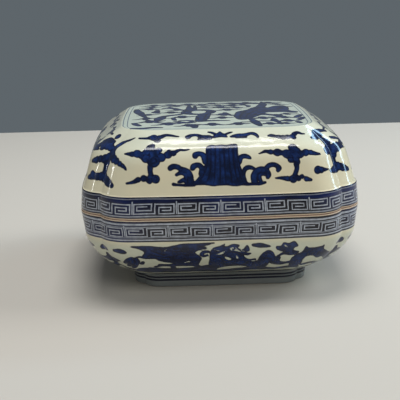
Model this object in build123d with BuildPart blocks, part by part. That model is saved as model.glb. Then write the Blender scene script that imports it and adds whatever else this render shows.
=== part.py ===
from build123d import *
from math import atan2, copysign, cos, degrees, hypot, radians, sin, sqrt
import os

# Seal paste box of glazed porcelain: a square lid and a square base, both with
# lobed corners, and the cake of paste that the base holds. The origin is at the
# centre of the foot's underside, +Z is up, and the sides face along X and Y.
# All sizes are in millimetres, and a reach is half a width, from the middle of
# the box to the middle of a side. The sides are bowed: a bow is how far a side's
# middle stands out past its ends. At each corner two round lobes meet in a
# groove, and a turn is the angle in degrees between the line square to the side
# and the groove, seen from the lobe's centre: 45 is a plain round corner.

# Rims, shared by the lid and the base
rim_height = 43.0          # where the two rims meet, above the table
rim_reach = 71.3
side_bow = 1.3
rim_ease = 0.7             # soft outer edge of each bare rim
corner_lobe = 17.4
corner_turn = 68.4

# Lid
lid_band = 10.9            # height of the painted band
lid_lean = 1.0             # how far the band leans in over its height
dome_step = 0.6            # how far the dome starts inside the band
dome_turn = 65.5
dome_height = 28.5         # from the band to the edge of the top panel
panel_margin = 21.6        # from the rim's line in to the panel's edge
panel_bow = 0.8
panel_lobe = 17.8
panel_turn = 46.3
groove_fade = 1.7          # how fast the dome's grooves fade towards the panel
panel_crown = 1.0          # rise of the panel to its middle
lid_wall = 3.6             # at the rim
dome_wall = 4.2

# Base
base_band = 11.8
base_lean = 1.7
belly_turn = 61.5
belly_power = 1.56         # roundness of the belly's curve
foot_height = 8.1
foot_margin = 25.4         # from the rim's line in to the top of the foot
foot_bow = 0.3
foot_taper = 0.7
foot_ease = 0.6
foot_lobe = 9.1
foot_turn = 66.0
foot_wall = 4.2
recess_depth = 7.0         # hollow under the floor, inside the foot
recess_lobe = 4.9
base_wall = 4.7

# Lip of the base, which stands inside the lid
lip_height = 5.0
lip_gap = 0.4
lip_wall = 2.4
lip_ease = 0.5

# Paste
paste_gap = 0.4
paste_floor_edge = 1.6     # from the edge of its flat underside to the wall's foot
paste_shoulder = 24.0      # height where the cake leaves the wall
paste_top = 32.0

overrun = 1.0              # how far every cut runs past what it cuts

# Dome curve: height above the band, and reach between the panel's and the dome's
dome_rise_shares = (0, 0.20, 0.40, 0.56, 0.70, 0.82, 0.92, 1)
dome_reach_shares = (1, 0.92, 0.84, 0.765, 0.635, 0.40, 0.165, 0)
# Panel crown: reach and rise as shares of the panel's
crown_reach_shares = (1, 0.75, 0.45, 0.2)
crown_rise_shares = (0, 0.55, 0.9, 1)
# Belly curve: how far down it each section lies
belly_fall_shares = (0, 0.2, 0.4, 0.58, 0.74, 0.87, 0.95, 1)
# Top of the paste: reach and rise as shares of the cake's
paste_reach_shares = (0.97, 0.89, 0.74, 0.5, 0.2)
paste_rise_shares = (0.35, 0.64, 0.84, 0.96, 1)

# Places worked out from the sizes
band_top = rim_height + lid_band
band_bottom = rim_height - base_band
lip_top = rim_height + lip_height
lid_band_reach = rim_reach - lid_lean
dome_reach = lid_band_reach - dome_step
panel_reach = rim_reach - panel_margin
belly_reach = rim_reach - base_lean
foot_reach = rim_reach - foot_margin
foot_edge_reach = foot_reach - foot_taper


def blend(low, high, share):
    """Value between low and high, at share of the way."""
    return low + (high - low) * share


def lobe_centre(reach, bow, lobe, turn):
    """Centre of the lobe at the +X side's end towards +Y."""
    across = reach - bow - lobe
    groove = across + lobe * cos(radians(turn))
    return across, groove - lobe * sin(radians(turn))


def outline(height, reach, bow, lobe, turn):
    """Level section at a height: each side is one wide arc that runs on smoothly
    into a lobe at each end, and the lobes of two sides meet in a groove."""
    across, along = lobe_centre(reach, bow, lobe, turn)
    side_radius = (along**2 + (lobe + bow) ** 2 - lobe**2) / (2 * bow)
    side_centre = reach - side_radius
    half_side = degrees(atan2(along, across - side_centre))
    with BuildSketch(Plane.XY.offset(height)) as section:
        with BuildLine():
            for spin in (0, 90, 180, 270):
                low = Vector(across, -along).rotate(Axis.Z, spin)
                middle = Vector(side_centre, 0).rotate(Axis.Z, spin)
                high = Vector(across, along).rotate(Axis.Z, spin)
                CenterArc(low, lobe, spin - turn, turn - half_side)
                CenterArc(middle, side_radius, spin - half_side, 2 * half_side)
                CenterArc(high, lobe, spin + half_side, turn - half_side)
        make_face()
    return section.sketch


def inset(reach, bow, lobe, turn, wall):
    """Sizes of the outline that lies wall inside another."""
    across, along = lobe_centre(reach, bow, lobe, turn)
    inner_lobe = lobe - wall
    groove = (across + along + sqrt(2 * inner_lobe**2 - (across - along) ** 2)) / 2
    return reach - wall, bow, inner_lobe, degrees(atan2(groove - along, groove - across))


def rim_inset(wall):
    """Sizes of the outline that lies wall inside the rims."""
    return inset(rim_reach, side_bow, corner_lobe, corner_turn, wall)


def dome_sizes(reach):
    """Sizes of the lid's outline where the dome has this reach."""
    share = (reach - panel_reach) / (dome_reach - panel_reach)
    lobe = blend(panel_lobe, corner_lobe, share)
    turn = blend(panel_turn, dome_turn, 1 - (1 - share) ** groove_fade)
    return reach, blend(panel_bow, side_bow, share), lobe, turn


def belly_sizes(reach):
    """Sizes of the base's outline where the belly has this reach."""
    share = (reach - foot_reach) / (belly_reach - foot_reach)
    lobe = blend(foot_lobe, corner_lobe, share)
    return reach, blend(foot_bow, side_bow, share), lobe, blend(foot_turn, belly_turn, share)


def inset_curve(curve, wall):
    """Points of (reach, height) moved inwards by wall, square to the curve."""
    inner = []
    for i, (reach, height) in enumerate(curve):
        before = curve[max(i - 1, 0)]
        after = curve[min(i + 1, len(curve) - 1)]
        run = after[0] - before[0]
        rise = after[1] - before[1]
        length = hypot(run, rise)
        inner_reach = reach - wall * abs(rise) / length
        inner.append((inner_reach, height + wall * run * copysign(1, rise) / length))
    return inner


def inner_outlines(curve, inner_curve, outer_sizes):
    """Outlines at the points of the inner curve, each inside the outer one."""
    outlines = []
    for (reach, height), (inner_reach, inner_height) in zip(curve, inner_curve):
        sizes = inset(*outer_sizes(reach), reach - inner_reach)
        outlines.append(outline(inner_height, *sizes))
    return outlines


# Dome, from the band up to the edge of the top panel
dome_curve = []
for rise_share, reach_share in zip(dome_rise_shares, dome_reach_shares):
    dome_point_reach = blend(panel_reach, dome_reach, reach_share)
    dome_curve.append((dome_point_reach, band_top + dome_height * rise_share))

# Belly, from the band down to the foot
belly_curve = []
for fall_share in belly_fall_shares:
    reach_share = (1 - fall_share**belly_power) ** (1 / belly_power)
    belly_point_reach = blend(foot_reach, belly_reach, reach_share)
    belly_curve.append((belly_point_reach, blend(band_bottom, foot_height, fall_share)))
belly_hollow = inset_curve(belly_curve, base_wall)
floor_reach, floor_height = belly_hollow[-1]

# Lid
with BuildPart() as lid:
    band_sections = [
        outline(rim_height, *rim_inset(rim_ease)),
        outline(rim_height + rim_ease, *rim_inset(0)),
        outline(band_top, lid_band_reach, side_bow, corner_lobe, dome_turn),
    ]
    loft(band_sections, ruled=True)
    loft([outline(height, *dome_sizes(reach)) for reach, height in dome_curve])
    crown_sections = []
    for reach_share, rise_share in zip(crown_reach_shares, crown_rise_shares):
        crown_height = band_top + dome_height + panel_crown * rise_share
        crown_sizes = [size * reach_share for size in (panel_reach, panel_bow, panel_lobe)]
        crown_sections.append(outline(crown_height, *crown_sizes, panel_turn))
    loft(crown_sections)
    # The hollow is upright round the lip, and follows the dome above it
    upright_top = lip_top + lip_ease
    upright_sections = [
        outline(rim_height - overrun, *rim_inset(lid_wall)),
        outline(upright_top, *rim_inset(lid_wall)),
    ]
    loft(upright_sections, mode=Mode.SUBTRACT)
    dome_hollow = inset_curve(dome_curve, dome_wall)
    hollow_sections = inner_outlines(dome_curve, dome_hollow, dome_sizes)
    loft([upright_sections[-1]] + hollow_sections, mode=Mode.SUBTRACT)
lid.part.label = "lid"

# Base
with BuildPart() as base:
    band_sections = [
        outline(rim_height, *rim_inset(rim_ease)),
        outline(rim_height - rim_ease, *rim_inset(0)),
        outline(band_bottom, *belly_sizes(belly_reach)),
    ]
    loft(band_sections, ruled=True)
    loft([outline(height, *belly_sizes(reach)) for reach, height in belly_curve])
    foot_sections = [
        outline(foot_height, foot_reach, foot_bow, foot_lobe, foot_turn),
        outline(foot_ease, foot_edge_reach, foot_bow, foot_lobe, foot_turn),
        outline(0, *inset(foot_edge_reach, foot_bow, foot_lobe, foot_turn, foot_ease)),
    ]
    loft(foot_sections, ruled=True)
    lip_sections = [
        outline(rim_height, *rim_inset(lid_wall + lip_gap)),
        outline(lip_top - lip_ease, *rim_inset(lid_wall + lip_gap)),
        outline(lip_top, *rim_inset(lid_wall + lip_gap + lip_ease)),
    ]
    loft(lip_sections, ruled=True)
    # The well is upright inside the lip, and follows the band and the belly below
    belly_sections = inner_outlines(belly_curve, belly_hollow, belly_sizes)
    well_sections = [
        belly_sections[0],
        outline(rim_height, *rim_inset(lid_wall + lip_gap + lip_wall)),
        outline(lip_top + overrun, *rim_inset(lid_wall + lip_gap + lip_wall)),
    ]
    loft(well_sections, ruled=True, mode=Mode.SUBTRACT)
    loft(belly_sections, mode=Mode.SUBTRACT)
    recess_sections = [
        outline(-overrun, foot_edge_reach - foot_wall, foot_bow, recess_lobe, foot_turn),
        outline(recess_depth, foot_reach - foot_wall, foot_bow, recess_lobe, foot_turn),
    ]
    loft(recess_sections, mode=Mode.SUBTRACT)
base.part.label = "base"

# Seal paste: a cake that lies flat on the floor, follows the belly up to its
# shoulder and has a rounded top
cake_curve = inset_curve(belly_curve, base_wall + paste_gap)
floor_sizes = (floor_reach, foot_bow, foot_lobe, foot_turn)
cake_sections = [outline(floor_height, *inset(*floor_sizes, paste_floor_edge))]
for (reach, height), (cake_reach, cake_height) in reversed(list(zip(belly_curve, cake_curve))):
    if floor_height + paste_gap < cake_height < paste_shoulder:
        *shoulder_sizes, shoulder_turn = inset(*belly_sizes(reach), reach - cake_reach)
        cake_sections.append(outline(cake_height, *shoulder_sizes, shoulder_turn))
        shoulder_height = cake_height
mound_sections = [cake_sections[-1]]
for reach_share, rise_share in zip(paste_reach_shares, paste_rise_shares):
    mound_height = blend(shoulder_height, paste_top, rise_share)
    mound_sizes = [size * reach_share for size in shoulder_sizes]
    mound_sections.append(outline(mound_height, *mound_sizes, shoulder_turn))
with BuildPart() as seal_paste:
    loft(cake_sections)
    loft(mound_sections)
seal_paste.part.label = "seal_paste"

os.makedirs("parts", exist_ok=True)
for node in (lid, base, seal_paste):
    export_step(node.part, f"parts/{node.part.label}.step")
    box = node.part.bounding_box()
    print(node.part.label, "solids", len(node.part.solids()), "valid", node.part.is_valid, box.size)
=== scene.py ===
from math import cos, pi, radians, sin

import bpy
import numpy as np
from mathutils import Matrix, Vector


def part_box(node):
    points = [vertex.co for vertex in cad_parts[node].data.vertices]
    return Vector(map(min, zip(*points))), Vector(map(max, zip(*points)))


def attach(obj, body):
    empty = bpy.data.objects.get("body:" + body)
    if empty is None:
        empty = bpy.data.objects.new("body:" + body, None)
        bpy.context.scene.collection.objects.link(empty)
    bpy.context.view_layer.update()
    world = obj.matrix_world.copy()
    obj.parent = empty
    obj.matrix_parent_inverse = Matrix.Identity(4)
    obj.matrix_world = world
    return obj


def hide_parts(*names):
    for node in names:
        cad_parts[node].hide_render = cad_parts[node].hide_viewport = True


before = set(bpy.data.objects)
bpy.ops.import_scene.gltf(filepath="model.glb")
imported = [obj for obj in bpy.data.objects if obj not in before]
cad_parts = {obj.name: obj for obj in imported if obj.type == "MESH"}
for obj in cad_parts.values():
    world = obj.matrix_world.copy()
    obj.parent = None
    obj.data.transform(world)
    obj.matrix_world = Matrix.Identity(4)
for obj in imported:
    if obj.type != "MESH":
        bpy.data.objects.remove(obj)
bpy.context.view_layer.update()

bl_info = {
    "name": "Blue and White Seal Paste Box",
    "version": (1, 0, 0),
    "blender": (4, 5, 0),
    "location": "View3D > Sidebar > Paste Box",
    "description": "Lobed porcelain box for seal paste, with painted bands, waves and clouds",
    "category": "Add Mesh",
}

MM = 0.001
LID_LOW, LID_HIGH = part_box("lid")
PASTE_LOW, PASTE_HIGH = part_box("seal_paste")

# Meshes
SIDES = 4
COLUMNS = 180                     # columns of the mesh on each side
DOME_ROWS = 56
HOLLOW_ROWS = 14                  # rows under the dome
BELLY_ROWS = 46
WELL_STEP = 5                     # rows of the belly to one row of the well
CURVE_STEPS = 10                  # steps along a curve to one of its rows
MIRRORED_SIDES = (1, 2)           # sides whose painting is turned left to right
TINY = 1e-9                       # keeps a division away from zero

# Dome curve: rise above the band, and reach between the panel's and the dome's
DOME_RISE_SHARES = (0, 0.20, 0.40, 0.56, 0.70, 0.82, 0.92, 1)
DOME_REACH_SHARES = (1, 0.92, 0.84, 0.765, 0.635, 0.405, 0.195, 0)
GROOVE_FADE = 1.7                 # power by which the grooves fade up the dome
BELLY_POWER = 1.56                # power of the belly's superellipse
BELLY_SPACING = 1.6               # power that crowds the belly's rows at the foot

# Rows of the ledge under the dome: (in from the band, down from its top), as shares
# of the dome's step
LEDGE = ((0.45, 0), (0.12, 0.2), (0, 0.7))
# Rows of the bands and the foot, as shares of the way down, and rows of the ceiling,
# the floor and the recess, as shares of their reach
LID_BAND_ROWS = (0.25, 0.5, 0.75, 1)
BASE_BAND_ROWS = (0, 0.33, 0.66, 0.97)
FOOT_ROWS = (0.03, 0.35, 0.7, 1)
CEILING_ROWS = (0.75, 0.5, 0.25)
FLOOR_ROWS = (0.3, 0.65)
RECESS_ROWS = (0.98, 0.6, 0.3)
EDGE_CUT = 0.3                    # how far in a soft edge's middle row is, as a share
BARE_STRIP = 0.8 * MM             # bare clay up the inside of the foot
# Rows up the wall of the recess: (share of its lean, height in bare strips), the
# second one measured down from the top
RECESS_WALL = ((0.3, 3), (0.9, 1))
LIP_TOP_EASES = 3                 # from the lip's top down to the well's last row
LOWEST_GLAZE = 3 * MM             # from the lid's rim up to the first glazed row

# Cake of paste
PASTE_ROWS, PASTE_COLUMNS = 90, 240
PASTE_MIDDLE = 0.02               # innermost ring, as a share of the reach
PASTE_POWER = 3.4                 # power of its superellipse, seen from the top
PASTE_SHOULDER = 24 * MM
PASTE_DIP = 1.2 * MM              # from the frame's top down to the middle
PASTE_MOUND = 2.4                 # power of its fall to the shoulder
PASTE_SWIRL = 0.5 * MM            # height of the swirl that a spatula leaves
PASTE_SWIRL_TURN = 15             # turn of the swirl from the middle out, in radians
PASTE_SWIRL_FADE = 6              # power of its fade towards the shoulder
# Rows down its side: (share of its reach, height in millimetres)
PASTE_SIDE = ((0.985, 20), (0.93, 17), (0.86, 14.2), (0.8, PASTE_LOW.z / MM))

# Attributes of the porcelain: above zero inside what they mark, and OFF far from it
PAINTED = ("cover", "depth", "veins", "bare", "band", "foot", "edge")
OFF, INSIDE, BARE = -9.0, 1.0, 2.0

# Painting
STROKE_STEPS = 5                  # straight pieces of a stroke between two points
NEAR = 3.0                        # how far round a shape the painting looks
CORNER_WEIGHT = 0.35              # more brush radius on the corners
PANEL_WEIGHT = 0.55               # more brush radius on the panel
BIRD_WEIGHT = 0.2                 # more brush radius on the birds
CLOUD_SCALE = 1.3                 # of the panel's small clouds


def length(name, value, description):
    """Property for a length that is given in millimetres."""
    return bpy.props.FloatProperty(
        name=name, description=description, default=value * MM, min=0, unit="LENGTH"
    )


def angle(name, value, description):
    """Property for an angle that is given in degrees."""
    return bpy.props.FloatProperty(
        name=name, description=description, default=radians(value), subtype="ANGLE"
    )


def number(name, value, description):
    """Property for a plain number."""
    return bpy.props.FloatProperty(name=name, description=description, default=value, min=0)


def colour(name, value, description):
    """Property for a colour."""
    return bpy.props.FloatVectorProperty(
        name=name, description=description, default=value, size=3, min=0, max=1,
        subtype="COLOR"
    )


class BoxSizes(bpy.types.PropertyGroup):
    """Sizes of the box. A reach is half a width, and a turn is the angle between
    the line square to a side and a corner's groove, seen from the lobe's centre."""

    side_bow: length("Side bow", 1.3, "How far a side's middle stands out past its ends")
    corner_lobe: length("Corner lobe", 17.4, "Radius of the round lobes at each corner")
    corner_turn: angle("Corner turn", 68.4, "Turn of the grooves at the rims")
    rim_ease: length("Rim ease", 0.7, "Soft outer edge of each bare rim")
    lid_band: length("Lid band", 10.9, "Height of the lid's painted band")
    lid_lean: length("Lid lean", 1.0, "How far the lid's band leans in")
    dome_step: length("Dome step", 0.6, "How far the dome starts inside the band")
    dome_turn: angle("Dome turn", 65.5, "Turn of the grooves at the foot of the dome")
    dome_height: length("Dome height", 28.5, "From the band to the edge of the panel")
    panel_margin: length("Panel margin", 21.6, "From the rim's line in to the panel's edge")
    panel_bow: length("Panel bow", 0.8, "Bow of the panel's sides")
    panel_lobe: length("Panel lobe", 17.8, "Radius of the panel's corners")
    panel_turn: angle("Panel turn", 46.3, "Turn where the grooves have faded")
    panel_crown: length("Panel crown", 0.9, "Rise of the panel to its middle")
    lid_wall: length("Lid wall", 3.6, "Wall of the lid at its rim")
    dome_wall: length("Dome wall", 4.2, "Wall of the dome")
    base_band: length("Base band", 11.8, "Height of the base's painted band")
    base_lean: length("Base lean", 1.7, "How far the base's band leans in")
    belly_turn: angle("Belly turn", 61.5, "Turn of the grooves at the top of the belly")
    base_wall: length("Base wall", 4.7, "Wall of the base")
    foot_height: length("Foot height", 8.1, "Height of the foot ring")
    foot_margin: length("Foot margin", 25.4, "From the rim's line in to the top of the foot")
    foot_bow: length("Foot bow", 0.3, "Bow of the foot's sides")
    foot_taper: length("Foot taper", 0.7, "How far the foot leans in to its edge")
    foot_ease: length("Foot ease", 0.6, "Soft edge that the foot stands on")
    foot_lobe: length("Foot lobe", 9.1, "Radius of the foot's corners")
    foot_turn: angle("Foot turn", 66.0, "Turn of the notches in the foot")
    foot_wall: length("Foot wall", 4.2, "Wall of the foot ring")
    recess_depth: length("Recess depth", 7.0, "Depth of the hollow inside the foot")
    recess_lobe: length("Recess lobe", 4.9, "Radius of the hollow's corners")
    lip_height: length("Lip height", 5.0, "How far the lip stands above the rim")
    lip_gap: length("Lip gap", 0.4, "Room between the lip and the lid")
    lip_wall: length("Lip wall", 2.4, "Wall of the lip")
    lip_ease: length("Lip ease", 0.5, "Soft edge of the lip")


class BoxColours(bpy.types.PropertyGroup):
    """Colours of the porcelain, the painting and the paste."""

    glaze: colour("Glaze", (0.80, 0.725, 0.505), "Warm clear glaze over the white body")
    # Cool glaze: a cooler glaze colour for random patches and low on the belly, and painted
    # skylight on the panel and high on the dome, where they face up
    glaze_cool_and_sky_tint: colour("Cool glaze", (0.56, 0.63, 0.54), "Where the glaze lies thick")
    cobalt_line: colour("Cobalt line", (0.002, 0.005, 0.03), "Dark outline of a stroke")
    cobalt_wash: colour("Cobalt wash", (0.005, 0.02, 0.092), "Fill inside the outlines")
    panel_line: colour("Panel line", (0.06, 0.09, 0.16), "Double line round the panel")
    speck: colour("Speck", (0.2, 0.13, 0.07), "Iron specks in the glaze")
    band_pale: colour("Band lines", (0.50, 0.54, 0.61), "Pale lines of the bands")
    band_dark: colour("Band ground", (0.002, 0.003, 0.011), "Dark ground behind the fret")
    band_wash: colour("Band wash", (0.007, 0.017, 0.10), "Blue wash above the fret")
    # Foot glaze: greyish glaze on the foot, made much darker than the glaze elsewhere as painted
    # shade under the belly's overhang
    foot_shaded_glaze: colour("Foot glaze", (0.17, 0.19, 0.21), "Thin greyish glaze on the foot")
    bare_clay: colour("Bare clay", (0.76, 0.52, 0.40), "Pinkish tan rim without glaze")
    foot_clay: colour("Foot clay", (0.17, 0.09, 0.05), "Brown standing edge")
    # Join: the dark line at the seam is a painted shadow in the gap between the lid and the base
    join: colour("Join", (0.05, 0.02, 0.012), "Dark line between the lid and the base")
    paste: colour("Paste", (0.52, 0.016, 0.008), "Oily vermilion paste")


class BoxStage(bpy.types.PropertyGroup):
    """Camera, light and floor."""

    lens: number("Lens", 76.83, "Focal length on a 36 mm sensor")
    distance: length("Distance", 474.1, "From the camera to the box")
    elevation: angle("Elevation", 14.104, "How far the camera looks down")
    azimuth: angle("Azimuth", -1.2255, "Turn of the camera round the box")
    roll: angle("Roll", -1.3229, "Turn of the camera about its line of sight")
    slide: bpy.props.FloatVectorProperty(
        name="Slide", description="Shift of the camera to its right and up",
        default=(-8.88 * MM, -8.58 * MM), size=2, unit="LENGTH"
    )
    floor: colour("Floor", (0.56, 0.53, 0.475), "Colour of the plain floor")
    backdrop: colour("Backdrop", (0.112, 0.132, 0.146), "Plain colour behind the floor")
    ambient: colour("Ambient", (0.9, 0.95, 1.0), "Colour of the light from all round")
    ambient_strength: number("Ambient strength", 0.17, "Strength of that light")
    mirrored: number("Mirrored", 0.55, "Share of the backdrop in mirror images")


# Outlines


def blend(low, high, share):
    """Value between low and high, at share of the way."""
    return low + (high - low) * share


def smooth_curve(x, xs, ys):
    """Cubic pieces through the points. Each slope is the harmonic mean of the
    slopes on its two sides, so the curve never swings past its points."""
    xs, ys = np.asarray(xs, float), np.asarray(ys, float)
    steps = np.diff(ys) / np.diff(xs)
    before, after = steps[:-1], steps[1:]
    same_way = before * after > 0
    total = np.where(same_way, before + after, 1)
    inner = np.where(same_way, 2 * before * after / total, 0)
    slopes = np.concatenate([steps[:1], inner, steps[-1:]])
    i = np.clip(np.searchsorted(xs, x) - 1, 0, len(xs) - 2)
    width = xs[i + 1] - xs[i]
    t = (x - xs[i]) / width
    low = ys[i] * (1 + 2 * t) * (1 - t) ** 2 + slopes[i] * width * t * (1 - t) ** 2
    return low + ys[i + 1] * t**2 * (3 - 2 * t) + slopes[i + 1] * width * t**2 * (t - 1)


def lobe_centre(sizes):
    """Centre of the lobe at the +X side's end towards +Y, and the groove there."""
    reach, bow, lobe, turn = sizes
    across = reach - bow - lobe
    groove = across + lobe * np.cos(turn)
    return across, groove - lobe * np.sin(turn), groove


def inset(sizes, wall):
    """Sizes of the outline that lies wall inside another."""
    reach, bow, lobe, turn = sizes
    across, along, _ = lobe_centre(sizes)
    inner_lobe = lobe - wall
    groove = (across + along + np.sqrt(2 * inner_lobe**2 - (across - along) ** 2)) / 2
    return reach - wall, bow, inner_lobe, np.arctan2(groove - along, groove - across)


def wide_arc(sizes):
    """Radius of the wide arc along a side, and its angle from the middle to a lobe."""
    reach, bow, lobe, _ = sizes
    across, along, _ = lobe_centre(sizes)
    radius = (along**2 + (lobe + bow) ** 2 - lobe**2) / (2 * bow)
    return radius, np.arctan2(along, across - reach + radius)


def half_length(sizes):
    """Length of half a side, along its outline from the middle to a groove."""
    _, _, lobe, turn = sizes
    radius, half_side = wide_arc(sizes)
    return radius * half_side + lobe * (turn - half_side)


def side_points(sizes, along_side):
    """Points of the +X side at distances along its outline from the middle. Up to
    the lobe they lie on one wide arc round a centre on the X axis, and from there
    on the lobe's own arc."""
    reach, _, lobe, _ = sizes
    across, along, _ = lobe_centre(sizes)
    radius, half_side = wide_arc(sizes)
    distance = np.abs(along_side)
    wide = distance / radius
    tight = half_side + (distance - radius * half_side) / lobe
    on_wide = distance <= radius * half_side
    x = np.where(on_wide, reach - radius + radius * np.cos(wide), across + lobe * np.cos(tight))
    y = np.where(on_wide, radius * np.sin(wide), along + lobe * np.sin(tight))
    return x, y * np.sign(along_side)


def rings(sizes, heights):
    """Closed level rings, one row for each height: the +X side's points, turned by
    0, 90, 180 and 270 degrees. Also gives the distance along each side."""
    sizes = [np.broadcast_to(size, np.shape(heights))[:, None] for size in sizes]
    places = np.linspace(-1, 1, COLUMNS + 1)[None, :-1]
    along_side = places * half_length(sizes)
    x, y = side_points(sizes, along_side)
    z = np.broadcast_to(np.asarray(heights)[:, None], x.shape)
    turned = [(x, y), (-y, x), (-x, -y), (y, -x)]
    points = [np.stack([across, along, z], -1) for across, along in turned]
    return np.concatenate(points, 1), np.tile(along_side, SIDES)


def blend_sizes(low, high, share):
    """Sizes of the outline between two others."""
    return [blend(one, other, share) for one, other in zip(low, high)]


def shrunk(sizes, share):
    """Sizes of an outline drawn in towards the middle, to a share of itself."""
    reach, bow, lobe, turn = sizes
    return reach * share, bow * share, lobe * share, turn


def soft_edge(outline, wall, height, inward, upward, angles):
    """Rows round a soft edge, at angles in degrees. At 0 a row lies on the upright
    face, wall inside the outline, and at 90 on the level face, at this height."""
    rows = []
    for turn in map(radians, angles):
        sizes = inset(outline, wall + inward * (1 - cos(turn)))
        rows.append((sizes, height + upward * (1 - sin(turn))))
    return rows


class Shape:
    """Sizes and curves of the box, worked out from the properties and the frame."""

    def __init__(self, size):
        self.size = size
        self.rim = (LID_HIGH.x, size.side_bow, size.corner_lobe, size.corner_turn)
        self.rim_height = LID_LOW.z
        self.band_top = self.rim_height + size.lid_band
        self.band_bottom = self.rim_height - size.base_band
        self.lip_top = self.rim_height + size.lip_height
        self.band_reach = self.rim[0] - size.lid_lean
        self.dome_reach = self.band_reach - size.dome_step
        self.panel_reach = self.rim[0] - size.panel_margin
        self.belly_reach = self.rim[0] - size.base_lean
        self.foot_reach = self.rim[0] - size.foot_margin
        self.foot_edge = self.foot_reach - size.foot_taper

    def dome_sizes(self, reach):
        """Outline of the dome where it has this reach. Its grooves stay deep low
        down, and fade towards the panel."""
        size = self.size
        share = (reach - self.panel_reach) / (self.dome_reach - self.panel_reach)
        fade = 1 - (1 - share) ** GROOVE_FADE
        lobe = blend(size.panel_lobe, size.corner_lobe, share)
        turn = blend(size.panel_turn, size.dome_turn, fade)
        return reach, blend(size.panel_bow, size.side_bow, share), lobe, turn

    def belly_sizes(self, reach):
        """Outline of the belly where it has this reach."""
        size = self.size
        share = (reach - self.foot_reach) / (self.belly_reach - self.foot_reach)
        lobe = blend(size.foot_lobe, size.corner_lobe, share)
        turn = blend(size.foot_turn, size.belly_turn, share)
        return reach, blend(size.foot_bow, size.side_bow, share), lobe, turn

    def dome_curve(self, count):
        """Reach, height and distance up the dome at count even steps up it."""
        rise = np.linspace(0, 1, CURVE_STEPS * count)
        share = smooth_curve(rise, DOME_RISE_SHARES, DOME_REACH_SHARES)
        reach = blend(self.panel_reach, self.dome_reach, share)
        return even_steps(reach, self.band_top + self.size.dome_height * rise, count)

    def belly_curve(self, count):
        """Reach, height and distance down the belly at count even steps: reach and
        fall lie on a superellipse."""
        fall = 1 - np.linspace(1, 0, CURVE_STEPS * count) ** BELLY_SPACING
        share = (1 - fall**BELLY_POWER) ** (1 / BELLY_POWER)
        reach = blend(self.foot_reach, self.belly_reach, share)
        return even_steps(reach, blend(self.band_bottom, self.size.foot_height, fall), count)


def even_steps(reach, height, count):
    """A curve of (reach, height) again, at count points of even spacing."""
    run = np.concatenate([[0], np.cumsum(np.hypot(np.diff(reach), np.diff(height)))])
    even = np.linspace(0, run[-1], count)
    return np.interp(even, run, reach), np.interp(even, run, height), even


def inset_curve(reach, height, wall):
    """A curve moved inwards by wall, square to itself."""
    across, up = np.gradient(reach), np.gradient(height)
    length = np.hypot(across, up)
    return reach - wall * np.abs(up) / length, height + wall * across * np.sign(up) / length


# Painting


def through_points(points, closed=False):
    """Smooth curve through given points: a Catmull-Rom spline."""
    points = np.asarray(points, float)
    if closed:
        around = np.concatenate([points[-1:], points, points[:2]])
    else:
        around = np.concatenate([points[:1], points, points[-1:]])
    p0, p1, p2, p3 = around[:-3, None], around[1:-2, None], around[2:-1, None], around[3:, None]
    t = (np.arange(STROKE_STEPS) / STROKE_STEPS)[None, :, None]
    curve = p1 + t * (p2 - p0) / 2 + t**2 * (2 * p0 - 5 * p1 + 4 * p2 - p3) / 2
    curve = (curve + t**3 * (3 * p1 - p0 - 3 * p2 + p3) / 2).reshape(-1, points.shape[1])
    return curve if closed else np.concatenate([curve, points[-1:]])


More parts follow.
